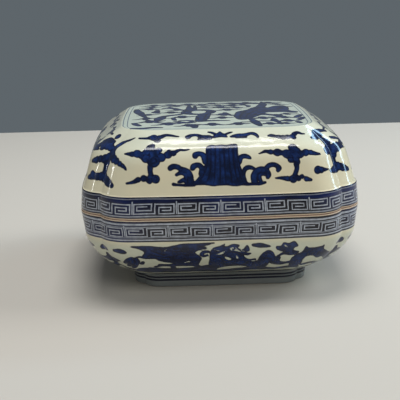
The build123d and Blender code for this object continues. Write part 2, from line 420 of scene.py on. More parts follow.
class Painting:
    """Painted shapes at the places of a grid, all in millimetres. Each value is
    above zero inside a shape, and says how far inside. cover is for all shapes
    together, depth for the newest shape alone, and veins for fine dark lines."""

    def __init__(self, across, up):
        self.across, self.up = across, up
        self.cover = np.full(across.shape, OFF)
        self.depth = np.zeros(across.shape)
        self.veins = np.full(across.shape, OFF)

    def near(self, line):
        """Which places lie near a line."""
        low, high = line.min(0) - NEAR, line.max(0) + NEAR
        inside = (self.across > low[0]) & (self.across < high[0])
        return inside & (self.up > low[1]) & (self.up < high[1])

    def nearest(self, near, start, step):
        """For each near place and each straight piece of a line: the piece's nearest
        point, as a share of the way along it, and the distance to that point."""
        x = self.across[near][:, None] - start[:, 0]
        y = self.up[near][:, None] - start[:, 1]
        length = np.maximum(step[:, 0] ** 2 + step[:, 1] ** 2, TINY)
        share = np.clip((x * step[:, 0] + y * step[:, 1]) / length, 0, 1)
        return share, np.hypot(x - share * step[:, 0], y - share * step[:, 1])

    def stroke(self, points, weight=0):
        """Places near a brush stroke, and the distance inside it: the brush's
        radius there less the distance to its middle line. Weight is more radius."""
        line = through_points(points)
        near = self.near(line)
        start, step = line[:-1], np.diff(line, axis=0)
        share, gap = self.nearest(near, start, step)
        return near, (start[:, 2] + share * step[:, 2] - gap).max(1) + weight

    def area(self, points):
        """Places near a filled outline, and the distance inside it. A place is
        inside where a level line from it crosses the outline an odd number of times."""
        line = through_points(points, closed=True)
        near = self.near(line)
        x, y = self.across[near][:, None], self.up[near][:, None]
        after = np.roll(line, -1, 0)
        step = after - line
        gap = self.nearest(near, line, step)[1].min(1)
        spans = (line[:, 1] > y) != (after[:, 1] > y)
        rise = np.where(step[:, 1] == 0, TINY, step[:, 1])
        crossing = line[:, 0] + (y - line[:, 1]) / rise * step[:, 0]
        inside = (spans & (x < crossing)).sum(1) % 2 == 1
        return near, np.where(inside, gap, -gap)

    def add(self, near, value):
        """Lays a shape over the others."""
        self.cover[near] = np.maximum(self.cover[near], value)
        self.depth[near] = np.where(value > 0, value, self.depth[near])

    def dot(self, x, y, radius):
        """Lays a round dot over the others."""
        gap = np.hypot(self.across - x, self.up - y)
        near = gap < radius + NEAR
        self.add(near, radius - gap[near])

    def brush(self, strokes, weight=0):
        """Lays brush strokes over the others."""
        for points in strokes:
            self.add(*self.stroke(points, weight))

    def fill(self, outlines):
        """Lays filled outlines over the others."""
        for points in outlines:
            self.add(*self.area(points))

    def vein(self, strokes):
        """Draws fine dark lines on the shapes."""
        for points in strokes:
            near, value = self.stroke(points)
            self.veins[near] = np.maximum(self.veins[near], value)

    def leave(self, strokes):
        """Leaves the ground bare along strokes."""
        for points in strokes:
            near, value = self.stroke(points)
            self.cover[near] = np.minimum(self.cover[near], -value)


# Brush strokes are (across, up, radius), outlines (across, up) and dots (across,
# up, radius). On the dome a side's places are counted from its middle, and up from
# the band

ROCK = [
    (-6.9, 23.6), (-4.6, 25.3), (-2, 25), (0.4, 25.5), (3, 25.1), (7.6, 25.6), (8.2, 22),
    (8.1, 18), (8.8, 14.5), (9.6, 11), (10.6, 8), (12, 5.4), (7.4, 4.2), (2, 4.8), (-4, 4.5),
    (-9, 5.2), (-15.2, 5.2), (-12.6, 7.2), (-10.2, 9.6), (-8.6, 12.4), (-7.5, 16), (-7.1, 20),
]
ROCK_LINES = [
    [(-6.2, 22, 0.2), (-6.6, 16, 0.4), (-8.8, 9.5, 0.45), (-12, 6.2, 0.2)],
    [(-4.6, 24, 0.25), (-4.9, 16, 0.4), (-5.9, 9, 0.45), (-7.6, 6, 0.2)],
    [(-2.6, 24.2, 0.35), (-2.8, 17, 0.4), (-3.2, 10, 0.35), (-3.9, 5.6, 0.25)],
    [(-0.5, 24, 0.2), (-0.5, 16, 0.3), (-0.6, 10, 0.4), (-0.9, 5.4, 0.25)],
    [(1.5, 24.6, 0.35), (1.6, 16, 0.5), (1.8, 9, 0.35), (1.9, 5.4, 0.25)],
    [(3.7, 24.2, 0.25), (3.9, 17, 0.3), (4.4, 10, 0.45), (4.9, 5.2, 0.25)],
    [(5.8, 24.4, 0.4), (6, 16, 0.5), (6.9, 9.5, 0.4), (8, 5.6, 0.25)],
    [(7.5, 22, 0.2), (7.5, 15, 0.3), (8.8, 9, 0.4), (10, 6, 0.2)],
]
BACK_WAVES = [
    [(-7.6, 16, 1.2), (-8.2, 19, 1.3), (-10, 20.3, 1.2), (-12, 19.7, 1.3), (-12.3, 18.9, 1.2)],
    [
        (-9.6, 10.5, 1.2), (-9.3, 13.2, 1.2), (-10.9, 14.6, 1.1), (-13, 14.2, 1.3),
        (-13.6, 13.2, 1.1),
    ],
    [(-18.9, 12.4, 1.1), (-20.5, 13.8, 1.2), (-22.8, 14.2, 1.2), (-24.3, 13.4, 1.2)],
    [(8.6, 15.5, 1.1), (9.4, 17.8, 1.1), (11.2, 18.4, 1.1), (13, 17.8, 0.9), (13.9, 17.3, 0.5)],
    [(10.9, 6.5, 0.9), (10.4, 10, 0.9), (11.4, 12.3, 1), (13.1, 12.9, 1), (15.3, 12.3, 0.6)],
    [(21, 12, 1), (22.8, 13.5, 1.1), (25.3, 13.7, 1.1), (27.4, 12.2, 1.1), (26.8, 11, 0.9)],
]
FRONT_WAVES = [
    [(-16.4, 6.4, 1), (-17.2, 7.7, 1), (-18.6, 7.6, 0.9), (-20.4, 6.8, 0.6)],
    [(-16.6, 8.6, 1), (-17.2, 10.6, 1.1), (-19.3, 11, 0.9), (-21.4, 10.2, 0.7)],
    [(-14.9, 6, 1.5), (-14.8, 9, 1.4), (-15.9, 11.4, 1.3), (-18.4, 12.7, 1.1)],
    [(-23, 5.7, 0.7), (-20.5, 5.4, 0.5), (-16, 5, 0.5), (-13, 5.2, 0.6)],
    [(18.6, 6, 0.8), (17.9, 7.9, 0.9), (18.6, 9.4, 0.9), (20.4, 9.4, 0.8)],
    [
        (15.5, 6, 1.4), (15.5, 9, 1.5), (17.6, 11.4, 1.4), (20.6, 11.4, 1.3), (22.3, 9.4, 1.2),
        (21.8, 8, 0.9),
    ],
    [(10, 4.9, 0.5), (15, 4.9, 0.6), (18.5, 5, 0.7), (20.7, 5.5, 0.5)],
]
CLOUD_TAILS = [
    [(-46.3, 20.4, 0.3), (-44.2, 20.6, 0.8), (-42.4, 20.6, 1.2)],
    [(-15.1, 22.9, 0.3), (-17.2, 22.4, 0.55), (-19.4, 22.6, 0.65), (-21.4, 21.6, 0.9)],
    [(-33.7, 14.4, 1.3), (-33.8, 12.4, 1.1), (-33.5, 10.2, 1.1), (-33.2, 8.8, 1.3)],
    [(-45.4, 6.4, 0.3), (-42.2, 7, 0.8), (-40.2, 7.9, 1.1)],
    [(18, 19.3, 0.2), (19.6, 19.9, 0.4), (21.4, 20.5, 0.8), (23, 20.2, 1)],
    [(29.9, 19.2, 1), (28, 19.6, 1.2)],
    [(43.4, 18.8, 1.1), (46, 18.1, 0.8), (48.6, 17.6, 0.3)],
    [(35.8, 13.6, 1.2), (36, 11.4, 1.05), (35.2, 9.4, 1.1), (34.6, 7.6, 1.2)],
    [(25.6, 7.3, 0.25), (28.4, 7.3, 0.7), (31, 6.9, 1.1)],
    [(40.6, 6.3, 1.1), (42.6, 5.9, 0.6)],
    [(48, 10.2, 1.4), (50.4, 10, 0.8), (52.9, 9.8, 0.3)],
    [(-39.1, 30.7, 0.4), (-35.6, 30.8, 0.6), (-33.6, 31.1, 0.9)],
    [
        (-28.4, 31.6, 1.3), (-26.2, 32.8, 0.9), (-23.8, 32.6, 0.8), (-21.4, 31.9, 0.5),
        (-19.8, 31.7, 0.3),
    ],
    [(23.5, 30.5, 0.4), (25, 30.7, 0.9), (27, 29.9, 0.9)],
    [(36.6, 31.4, 1.1), (38.4, 31.9, 0.8), (40.4, 30.8, 0.5), (42.1, 30.5, 0.3)],
]
CLOUD_LOBES = [
    (-42.4, 20.6, 1.4), (-39.8, 20.9, 2.1), (-37.2, 20, 2), (-22.6, 20.8, 1.5),
    (-24.6, 22, 0.9), (-25.2, 20, 1.9), (-35.6, 18.4, 2.1), (-28.4, 18.7, 2.2),
    (-29.4, 22.7, 1.5), (-35, 22, 2), (-33.4, 24.4, 2), (-32.4, 26, 1.1), (-31.6, 21.2, 2.6),
    (-32, 17, 3), (-39.6, 8.2, 1.2), (-37, 8.8, 1.5), (-34.2, 7.6, 1.4), (-33.8, 9, 1.5),
    (-31.4, 8.4, 2), (23.8, 20.1, 1.3), (26.9, 19.8, 1.9), (43.2, 18.9, 1.3),
    (40.6, 19.1, 1.8), (37.7, 18.4, 2), (36.2, 14.6, 1.5), (33.4, 16, 1.6), (35.6, 16.4, 1.7),
    (31.4, 18.9, 2.2), (34.4, 22.2, 2.1), (36.2, 20.4, 1.7), (33.4, 18.8, 2.2),
    (35.6, 18, 1.9), (31.4, 6.9, 1.2), (40.4, 6.4, 1.2), (38.2, 7.6, 1.1), (36.6, 6.8, 1.3),
    (34.1, 6.7, 1.9), (48.4, 10, 1.5), (46.4, 10.3, 1.9), (-33.6, 31.2, 1.2),
    (-29.2, 31.4, 1.5), (-30.2, 29.5, 1.8), (-31.8, 31.2, 2.1), (28.4, 29.6, 1.3),
    (30.6, 29.1, 1.5), (35.9, 28.6, 1.1), (36.3, 31, 1.3), (35.2, 29.5, 1.5),
    (32.8, 29.2, 1.5),
]
CLOUD_LINES = [
    [
        (-33.6, 17.6, 0.25), (-32.4, 18.6, 0.3), (-30.9, 17.8, 0.3), (-31, 16.3, 0.3),
        (-32.3, 16, 0.25),
    ],
    [(-32.2, 9, 0.2), (-31.2, 9.4, 0.3), (-30.4, 8.4, 0.3), (-31.4, 7.5, 0.2)],
    [(-34.4, 24.6, 0.2), (-33.4, 25.4, 0.3), (-32.4, 24.4, 0.2)],
    [(33.4, 22.6, 0.2), (34.4, 23.2, 0.3), (35.4, 22.4, 0.2)],
    [(32.6, 18.8, 0.2), (33.4, 19.8, 0.3), (34.8, 19.2, 0.25)],
    [(33.2, 7, 0.2), (34.2, 7.4, 0.3), (34.9, 6.4, 0.2)],
    [(45.4, 10.6, 0.2), (46.6, 11, 0.3), (47.2, 9.8, 0.2)],
    [(-32.9, 31.6, 0.2), (-31.8, 32, 0.3), (-31, 31, 0.2)],
]
SCROLLS = [
    [(-10.2, 29.4, 0.6), (-7, 29.5, 0.8), (-4.4, 29.8, 0.6)],
    [(-15.4, 31.1, 1.3), (-14, 32.2, 1), (-11.6, 32.5, 0.8), (-9.6, 31.9, 1)],
    [(-9.4, 31.2, 1.2), (-7.4, 30.8, 1.4), (-5.2, 30.8, 1.3), (-3.9, 30.4, 0.6)],
    [(-5.4, 34.4, 0.45), (-3.8, 34, 0.7), (-2, 32.8, 0.7)],
    [(6, 34, 0.4), (4.4, 33.4, 0.6), (2.8, 32.4, 0.6)],
    [(8, 30.3, 0.7), (12.6, 30.3, 0.6)],
    [(5.4, 30.7, 0.6), (7.5, 31.2, 1.1), (9.8, 31.6, 1.2)],
    [
        (10.4, 31.6, 1.1), (13, 31.9, 1), (15, 32.7, 0.9), (17, 32.1, 0.9), (18.3, 30.5, 0.6),
        (18.4, 29.6, 0.4),
    ],
]
BUD = [
    (-3.2, 30.2), (-2.6, 32.5), (-1, 33.6), (0.2, 34.8), (1.5, 33.5), (3, 32.3), (3.6, 30.3),
    (0.4, 30.7),
]
# Clouds on the corners, counted across from the groove: (strokes, dots)
LEFT_CORNER = (
    [
        [(-3.4, 26.4, 0.7), (-8, 27.4, 1), (-13, 25.4, 0.4)],
        [(-10, 24.2, 1.4), (-13.6, 22.6, 1), (-16.4, 21.4, 0.4)],
        [(-7, 15.6, 1.3), (-9.6, 15, 0.9), (-11.6, 14.4, 0.4)],
        [
            (0.8, 21.6, 0.9), (1.5, 24.3, 1.2), (3, 26.6, 0.9), (4.6, 28.2, 0.4),
            (6, 29.2, 0.35), (7.4, 30.8, 0),
        ],
        [(9, 15.4, 0.7), (11.6, 14.5, 0.4), (13.6, 12.9, 0)],
        [
            (-0.4, 8, 1.3), (-0.3, 11, 1.1), (-0.1, 13.5, 1.3), (0.2, 16, 1.3),
            (0.8, 19.6, 1.3), (1, 22, 1.2),
        ],
        [(-6.6, 7.7, 1.4), (-9.6, 6.9, 1), (-12.2, 6.2, 0.4)],
        [(5.2, 5.7, 1.2), (7.6, 4.7, 0.7)],
    ],
    [
        (-10.4, 24.4, 1.7), (-7.4, 22.6, 1.9), (-7.2, 24.9, 2.3), (-4.2, 23.6, 2.2),
        (-1.8, 22.4, 1.4), (-3.9, 30.2, 1.4), (-7.6, 15.5, 1.5), (-5.4, 16.2, 1.5),
        (9.2, 15.5, 0.9), (11.2, 14.6, 0.6), (6.8, 16.4, 1.3), (4.4, 17.2, 1.6),
        (-2.6, 16.6, 1.8), (2, 18.4, 1.9), (0, 15.2, 1.9), (1, 20.2, 1.6), (0, 17.6, 2.1),
        (-8.6, 8.2, 1.5), (-4.4, 7.7, 1.5), (-2, 8, 1.7), (5.2, 5.7, 1.5), (0.6, 7.5, 1.9),
        (3, 6.5, 1.9),
    ],
)
RIGHT_CORNER = (
    [
        [(3, 30.9, 0.9), (6.4, 30.4, 0.7), (10.4, 29.2, 0.4)],
        [(7.4, 24.8, 0.5), (11, 23.8, 0.6), (14, 22.6, 0.3)],
        [(7.6, 19.6, 1.4), (10.6, 19, 0.8), (13, 18.2, 0.3)],
        [(-5.6, 27.2, 0.4), (-3, 27.2, 1.3), (-0.8, 28.9, 1.3), (1, 30.2, 1)],
        [
            (0, 27.4, 1.1), (0.6, 25, 1.2), (0.2, 21, 1.4), (0, 16.4, 1.4), (0.1, 12.6, 1.2),
            (0.2, 10, 1.4),
        ],
        [(6.6, 8.2, 1.2), (9.6, 7.2, 0.5)],
        [(-5.4, 8.7, 0.4), (-2.6, 8.8, 1.2)],
    ],
    [
        (-3.2, 27.2, 1.5), (-1.2, 28.8, 1.6), (2.2, 28.3, 1.2), (2.4, 30.5, 1.3),
        (0.6, 30.3, 1.5), (1.8, 23.4, 1.8), (8.2, 19.6, 1.6), (5.4, 19.1, 2.1), (1.4, 16, 1.6),
        (-3.2, 18.4, 1.6), (2.2, 18.4, 2.3), (-0.9, 18.8, 2), (6.8, 8.2, 1.3), (4.6, 9, 1.6),
        (-2.6, 8.8, 1.3), (2.2, 9.8, 1.7), (-0.3, 9, 1.8),
    ],
)
# On the belly a side's places are counted from its middle, and up from the band, so
# they lie below zero
MANE = [
    (-45, -1.8), (-41, -3.3), (-38, -5.5), (-39, -8), (-37.5, -10), (-33, -10.3), (-31, -12),
    (-27, -13.5), (-22, -14.5), (-18, -16), (-12.5, -16.5), (-11, -13), (-10.5, -9.8),
    (-13.5, -6.5), (-12, -5), (-7.5, -3.5), (-12, -2.6), (-8, -2), (-4, -0.6), (-12, -0.8),
    (-19, -0.8), (-24, -1.8), (-28, -2.5), (-36, -1.8),
]
MANE_LINES = [
    [(-36, -3.4, 0.2), (-33, -5.4, 0.4), (-29, -7, 0.4), (-25, -7.4, 0.2)],
    [(-36, -6.4, 0.2), (-32, -8.2, 0.4), (-27, -9.4, 0.4), (-21, -9.2, 0.2)],
    [(-33, -3, 0.2), (-28, -4.4, 0.4), (-22, -5.4, 0.4), (-16, -5, 0.2)],
    [(-30, -10.4, 0.2), (-25, -12, 0.4), (-19, -12.4, 0.4), (-14, -11.4, 0.2)],
    [(-24, -3, 0.2), (-19, -3.6, 0.4), (-14, -3.4, 0.2)],
    [(-20, -7.2, 0.2), (-17, -8, 0.4), (-13, -8.4, 0.2)],
    [(-19, -14.2, 0.2), (-15.6, -14.8, 0.4), (-12.6, -13.8, 0.2)],
]
CLAWS = [
    (-6.6, -17), (-6.4, -11), (-6.1, -6), (-4.5, -3.5), (-1.5, -2.6), (1, -1.4), (0.2, -3.2),
    (2.4, -2.8), (4.8, -1.7), (8, -2.4), (7.2, -4), (9.6, -5), (11.8, -2.6), (12.9, -6),
    (10.2, -6.5), (12, -7.3), (14, -7.9), (12, -9.4), (10.2, -8.7), (11, -11), (13, -12.4),
    (16, -11.8), (16.2, -13.4), (13.8, -14), (17, -15.6), (16, -18), (5, -18), (-2, -18.5),
]
CLAW_LINES = [
    [(-4.8, -5.2, 0.3), (-2, -6, 0.4), (1, -5.4, 0.3)],
    [(-4.6, -9.4, 0.3), (-1, -10.6, 0.4), (0.4, -13.4, 0.4), (4, -14.6, 0.3)],
    [(3.4, -6.2, 0.3), (6.8, -7.2, 0.4), (9.4, -8.4, 0.3)],
    [(5.6, -14.6, 0.3), (8.8, -13.4, 0.4), (10.6, -12, 0.3)],
]
BODY = [
    (-41, -19), (-33, -18.8), (-28, -19.6), (-20, -19.6), (-14, -19), (-8, -17), (-2, -16),
    (6, -15), (13, -15), (18, -14), (20.5, -18), (14, -19.6), (8, -18.8), (3, -19), (0, -20),
    (-2.6, -22), (-4, -25.4), (-12, -25.6), (-24, -26.4), (-34, -26), (-42, -23),
]
HUMP = [
    (16.8, -20), (17.4, -13), (19.2, -8.4), (22, -6.1), (24.4, -7.5), (25.8, -11), (27, -9.8),
    (28.4, -12), (28.2, -15), (31, -16), (34, -15.2), (34.8, -17), (30, -18.4), (26, -17.6),
    (23.6, -15), (22.8, -17), (21.4, -20.6),
]
CLAW_RIGHT = [
    (25.8, -3.8), (28, -3.6), (29.4, -1.7), (32, -2.3), (34.6, -1.4), (36.4, -4), (34.9, -5),
    (34.2, -6.8), (37, -7.8), (35.6, -10), (32.6, -10.4), (30, -9.6), (28, -10.5),
    (26.4, -11.2), (28.4, -8.5), (30.6, -7.1), (28, -6.9), (26, -5.6),
]
LEG = [
    (33.2, -21), (33.6, -14), (35.6, -10.5), (39, -8), (40.5, -4.4), (42, -5.6), (48, -5.2),
    (49.8, -4.4), (49.6, -7), (52, -9.6), (50.4, -12.5), (46.8, -14), (44.4, -11.5), (41, -12),
    (39.5, -15), (38.8, -19.4), (36, -22),
]
BELLY_STROKES = [
    [(-7, -6, 0.7), (-9, -5.9, 0.9), (-10.3, -7.4, 0.9), (-9.4, -9, 0.8), (-7.6, -8.4, 0.6)],
    [(14.5, -2.6, 0.7), (18, -2.9, 1.3), (21, -3.4, 0.9), (22.9, -3.7, 0.4)],
    [(-53.6, -5, 0.7), (-51, -4.9, 1.4), (-48.6, -5.3, 1.3), (-47.4, -5.5, 0.8)],
    [(-48.4, -14, 1), (-46.4, -11.2, 1.3), (-44.6, -9.6, 1)],
    [(-42.4, -9.8, 0.9), (-41.6, -12, 1), (-42.4, -15, 1.1)],
    [(-46.6, -17, 0.9), (-45, -14, 1.3), (-44, -11.4, 1)],
    [(-44, -18.6, 1), (-43, -16.4, 1.3)],
    [(-38.9, -12.6, 0.6), (-39.6, -14.2, 1.1)],
    [(-37.6, -9.6, 0.7), (-40.4, -8.6, 0.6), (-42, -8.9, 0.4)],
    [(-33, -17.6, 0.8), (-29.4, -16.2, 0.9), (-25, -16.8, 0.8)],
    [
        (-4, -25.6, 1.6), (3, -25, 2.2), (9, -23.9, 2.4), (15, -23, 2.4), (21, -23.6, 1.8),
        (26, -24.6, 1.4),
    ],
    [(27, -24.4, 1.2), (32, -22.8, 1.6), (37, -22.6, 1.4)],
    [(49.6, -10, 1.6), (53.4, -12.6, 1.8), (56.4, -17, 1.4), (57.6, -20, 0.7)],
    [(39.6, -20.2, 0.9), (43.6, -18.6, 1.2), (47.4, -19.4, 1), (49.6, -22, 0.5)],
    [
        (-36, -19.4, 1.2), (-30, -21.4, 1.7), (-22, -22, 1.8), (-13, -21.2, 2.2),
        (-4, -19.4, 2.4),
    ],
    [
        (-31, -15.4, 0.7), (-26, -16.2, 1.1), (-21, -15.8, 1.5), (-15.6, -15.8, 1.8),
        (-12.6, -17.6, 1.4),
    ],
    [(-24.6, -17, 1.1), (-24, -20, 1.2)],
    [(-14, -17, 1.2), (-12.6, -20, 1.6)],
    [(10, -14.6, 1.6), (13.6, -17.6, 2.6), (16.4, -20.6, 2.7), (20.6, -22.6, 1.7)],
    [(24.6, -16.4, 1.2), (28, -18, 1.2), (31.4, -17.4, 0.8)],
    [(-20, -24.4, 0.8), (-12, -25, 1), (-4, -25.4, 1.2)],
]
# Slits that stay bare, and fine lines
MANE_GAPS = [
    [(-4.6, -4.4, 0.1), (-2.6, -5.2, 0.45), (-0.4, -5, 0.1)],
    [(-3.4, -7.8, 0.1), (-1, -7.2, 0.55), (1.4, -5.6, 0.3)],
    [(2.6, -3.4, 0.1), (4, -4.8, 0.5), (4.6, -6, 0.1)],
    [(6, -3.4, 0.1), (7, -5.4, 0.5), (8.8, -6, 0.1)],
    [(8.4, -5, 0.2), (9.8, -6.2, 0.4), (11.4, -6.6, 0.1)],
    [(6.6, -9.8, 0.3), (7, -11.4, 0.5)],
    [(-18.6, -18.6, 0.4), (-15.6, -18.2, 0.7), (-13.6, -18.6, 0.3)],
    [(-21.6, -19.4, 0.5), (-19.4, -19.2, 0.5)],
    [(-30.4, -18.6, 0.5), (-28.6, -18.4, 0.8)],
]
BODY_LINES = [
    [(-32, -3.4, 0.2), (-27, -4.6, 0.3), (-21, -3.6, 0.3), (-14, -3.8, 0.2)],
    [(-31, -7, 0.2), (-26, -8.4, 0.3), (-20, -7.2, 0.3), (-13, -7.6, 0.2)],
    [(-29, -11, 0.2), (-23, -12.2, 0.3), (-17, -10.6, 0.3), (-12, -10.8, 0.2)],
    [(-24.6, -5.4, 0.2), (-24, -9.4, 0.3), (-23, -12.6, 0.2)],
    [(-17.6, -4.6, 0.2), (-17, -8.6, 0.3), (-16.4, -11.6, 0.2)],
    [(18.6, -11, 0.2), (20.4, -8.6, 0.3), (23, -8.4, 0.3), (25, -11, 0.2)],
    [(19.6, -14.6, 0.2), (21.4, -11.4, 0.3), (23.2, -12.6, 0.2)],
]
BELLY_GAPS = [
    [(1.4, -10.4, 0.7), (2.6, -11.4, 1), (3.6, -12, 0.7)],
    [(6.8, -9.6, 0.5), (7.1, -11.2, 0.7)],
    [(-2.6, -8, 0.4), (-0.6, -7.4, 0.6), (0.4, -6.6, 0.3)],
    [(3.2, -4.4, 0.35), (4.8, -3.9, 0.5)],
    [(5.8, -5.4, 0.5), (8.8, -6.6, 0.45)],
    [(-18.4, -13.9, 0.5), (-16.2, -13, 0.5)],
    [(-27, -3.6, 0.35), (-28.4, -5.2, 0.35)],
    [(30, -3.4, 0.45), (31.2, -4.6, 0.4)],
]
BELLY_CORNER = (
    [
        [(-1.8, -5.6, 0.4), (0.4, -4.6, 1.2), (2.4, -5.2, 0.6)],
        [(0.2, -9.4, 0.8), (-0.4, -12.6, 1.4), (0.4, -16.4, 1.2), (-0.2, -20, 0.7)],
        [(4.6, -12.4, 0.8), (6.4, -12.8, 0.3)],
        [(-5.4, -13.8, 0.9), (-7.4, -13, 0.3)],
        [(1, -18.2, 0.8), (4.4, -20.2, 1.3), (9, -22.2, 1.2), (13.4, -25.4, 0.6)],
        [(-1, -18.4, 0.8), (-4, -20.6, 1.2), (-8, -23, 0.9), (-12, -25.8, 0.4)],
    ],
    [
        (-3.8, -14, 1.7), (-1.6, -13, 1.6), (3.4, -12.6, 1.5), (1.4, -13.6, 1.6),
        (0, -16.6, 1.7), (0.4, -10.4, 1.3),
    ],
)
# On the panel places are counted from its middle to the right and to the back
WING = [
    (10.6, -24), (9.6, -15), (10.4, -8), (12, 0), (14.6, 4), (18.4, 8.6), (21, 15), (24, 20.4),
    (26, 28), (28, 37), (29.6, 45), (31, 36), (31.4, 30), (30, 22), (29.2, 18.4), (31, 17),
    (34, 22), (38.4, 25.6), (41, 24), (42.2, 15), (41.2, 8), (42, 4), (45.2, 0.6), (44, -4),
    (41, -4.2), (38, -2), (33, -2.4), (28.6, -3), (27, -6), (30, -9.4), (34, -9.6),
    (35.4, -14), (32.4, -18.6), (30, -15.4), (27, -12.8), (24, -12.8), (22, -16), (19, -21.4),
    (16, -25.6), (12.4, -26.4),
]
WING_LINES = [
    [(12.4, -22, 0.3), (13.2, -12, 0.5), (16.4, 0, 0.5), (22, 10.4, 0.4), (26, 19, 0.3)],
    [(15.4, -20, 0.3), (17.2, -10, 0.5), (21, 0, 0.5), (26.6, 9.4, 0.4), (32, 15, 0.3)],
    [(19.2, -15, 0.3), (22.2, -6, 0.5), (28, 3, 0.5), (34.4, 9.4, 0.4), (38.6, 16, 0.3)],
    [(27.4, 0.2, 0.3), (33, 1.6, 0.5), (38.6, 3.4, 0.4), (42.4, 1.4, 0.3)],
    [(25.6, -8.6, 0.3), (29.6, -11.4, 0.4), (33.2, -11.6, 0.3)],
]
BIRDS = [
    [
        (-15.6, 5, 2.6), (-13, 10, 2.8), (-6.4, 10.8, 2.6), (-2.2, 7, 2.4), (-2.2, 1, 2.4),
        (-5, -4, 2.4), (-10, -5, 2), (-14.5, -2, 2.6), (-15.6, 4, 2.6),
    ],
    [(-14, 10, 2.4), (-13.5, 18, 1.8), (-13.6, 26, 1.1), (-13.4, 33, 0.4)],
    [(-10.6, 12, 1), (-10.2, 22, 0.8), (-10.4, 31, 0.4)],
    [(-16.4, 11, 1.1), (-20, 17, 1.3), (-23, 22, 2), (-27.4, 22.6, 1.7)],
    [(-23.6, 25, 0.9), (-26, 30, 0.6), (-29.4, 33.4, 0.3)],
    [(-16, 0, 1.6), (-20, -4, 1.6), (-24.6, -6.2, 1.8)],
    [(-26.6, -7.6, 2), (-28.6, -10.8, 2.2), (-29.6, -16, 2.8), (-30.6, -20.6, 1.6)],
    [(-5, -4, 2.6), (-6.5, -12, 3.4), (-7.5, -20, 3.3), (-8.4, -26, 2.4)],
    [(-22.6, -14, 0.5), (-22.2, -18.4, 1), (-21.4, -23, 0.7)],
    [(-21, -27.4, 1.4), (-18.6, -29.4, 1.8), (-15.4, -31.4, 1.6), (-13, -30, 2)],
    [(-18.6, -24.6, 1.1), (-15.4, -24.4, 1.1), (-12.6, -26, 1.4)],
    [(-9, -28, 1.8), (-4, -27.2, 1.7), (1, -27.4, 1.3), (6, -28.4, 0.6)],
    [(18, -26, 1.4), (19, -32, 1.9), (19.6, -38, 1.9), (20.6, -44.6, 0.9)],
    [(17.6, -33.2, 0.8), (12.6, -33.4, 0.7)],
    [(22, -31, 0.9), (26, -31.6, 0.8), (28.4, -31, 0.9)],
    [(29.4, -24.6, 0.9), (29.4, -30, 1.7), (31, -36, 1), (31.6, -41.4, 0.5)],
]
PANEL_STROKES = [
    [
        (-43.4, 24, 0.6), (-43, 18, 1.4), (-41.5, 10, 2), (-40, 3, 1.4), (-38.5, -4, 0.8),
        (-37.4, -8, 0.4),
    ],
    [(-42.6, -27, 0.8), (-41, -32, 1.2), (-39.4, -35.4, 0.6)],
    [(-42.4, -42, 1.1), (-37.2, -43, 1.5), (-33, -41.6, 1.2), (-28.6, -42.4, 0.6)],
    [(-31.4, 17, 0.5), (-31.6, 12.6, 1.1), (-32.4, 8, 1.7), (-30.6, 4.4, 0.7)],
    [(-38, -15, 0.4), (-35, -20, 0.7), (-31, -27, 0.7), (-27, -30, 0.4)],
    [(-12.6, -37, 0.9), (-12, -42, 1.4), (-11.8, -45.4, 0.6)],
    [(5.4, -1.6, 0.5), (6, -6, 0.9), (8.4, -12.4, 0.5)],
    [(17, 30, 0.5), (20, 26, 0.9), (20, 20, 0.4)],
    [(45.2, -11.6, 0.8), (43, -17, 1.1), (41.4, -21.4, 0.7)],
    [(42, -27.4, 0.8), (43.6, -25, 1.1), (45.4, -20, 0.5)],
    [(40.6, -34.6, 0.9), (41.6, -38.4, 0.5)],
]
PANEL_GAPS = [
    [(-15.4, -28, 0.8), (-14.8, -27.4, 0.6)],
    [(29.6, -6, 1), (35.6, -6.2, 1.2)],
]
# Small clouds on the panel: (across, up, size, lean of the tails). In shares of its
# size a cloud has dots (across, up, radius) and two tails, of points (across, rise
# for its lean, sag, radius)
SMALL_CLOUD_DOTS = ((-1, 0, 0.85), (0, 1.3, 1), (1, 0.1, 0.9), (0.2, -0.9, 0.9))
SMALL_CLOUD_TAIL = ((1, 0, 0, 0.6), (2.4, 1.1, 0.4, 0.45), (3.8, 2.2, 0, 0.15))
PANEL_CLOUDS = [
    (-34, 38, 1.7, 0.5), (-36, 22, 1.6, -0.4), (-25, 38, 1.6, -0.5), (-21, 32, 1.5, 0.4),
    (-35, 30, 1.4, 0.5), (-14, 38, 1.8, 0.5), (-6, 33, 1.6, -0.5), (-5, 23, 1.5, 0.4),
    (0, 39, 1.6, 0.4), (3, 30, 1.5, -0.4), (4, 20, 1.7, 0.5), (11, 38, 1.8, -0.5),
    (11, 27, 1.6, 0.4), (17, 34, 1.8, 0.5), (20, 40, 1.4, -0.4), (25, 36, 1.5, 0.4),
    (33, 38, 1.7, 0.5), (37, 31, 1.5, -0.4), (39, 20, 1.3, 0.4), (13, 17, 1.4, -0.4),
    (7, 9, 1.7, 0.4), (-24, 5, 1.6, -0.4), (-21, 14, 1.2, 0.4), (-36, 0, 1.3, 0.4),
    (-18, -13, 1.7, 0.5), (-35, -24, 1.7, 0.4), (-25, -33, 1.7, 0.4), (4, -9, 1.7, -0.5),
    (3, -19, 1.5, 0.4), (24, -22, 1.6, 0.4), (35, -20, 1.6, -0.4), (38, -9, 1.3, 0.4),
    (36, -31, 1.5, 0.4), (10, -38, 1.5, 0.4), (-3, -38, 1.6, -0.4), (26, -39, 1.4, 0.3),
    (-15, -39, 1.4, 0.3), (-37, -13, 1.4, 0.4), (34, -39, 1.2, 0.3),
]
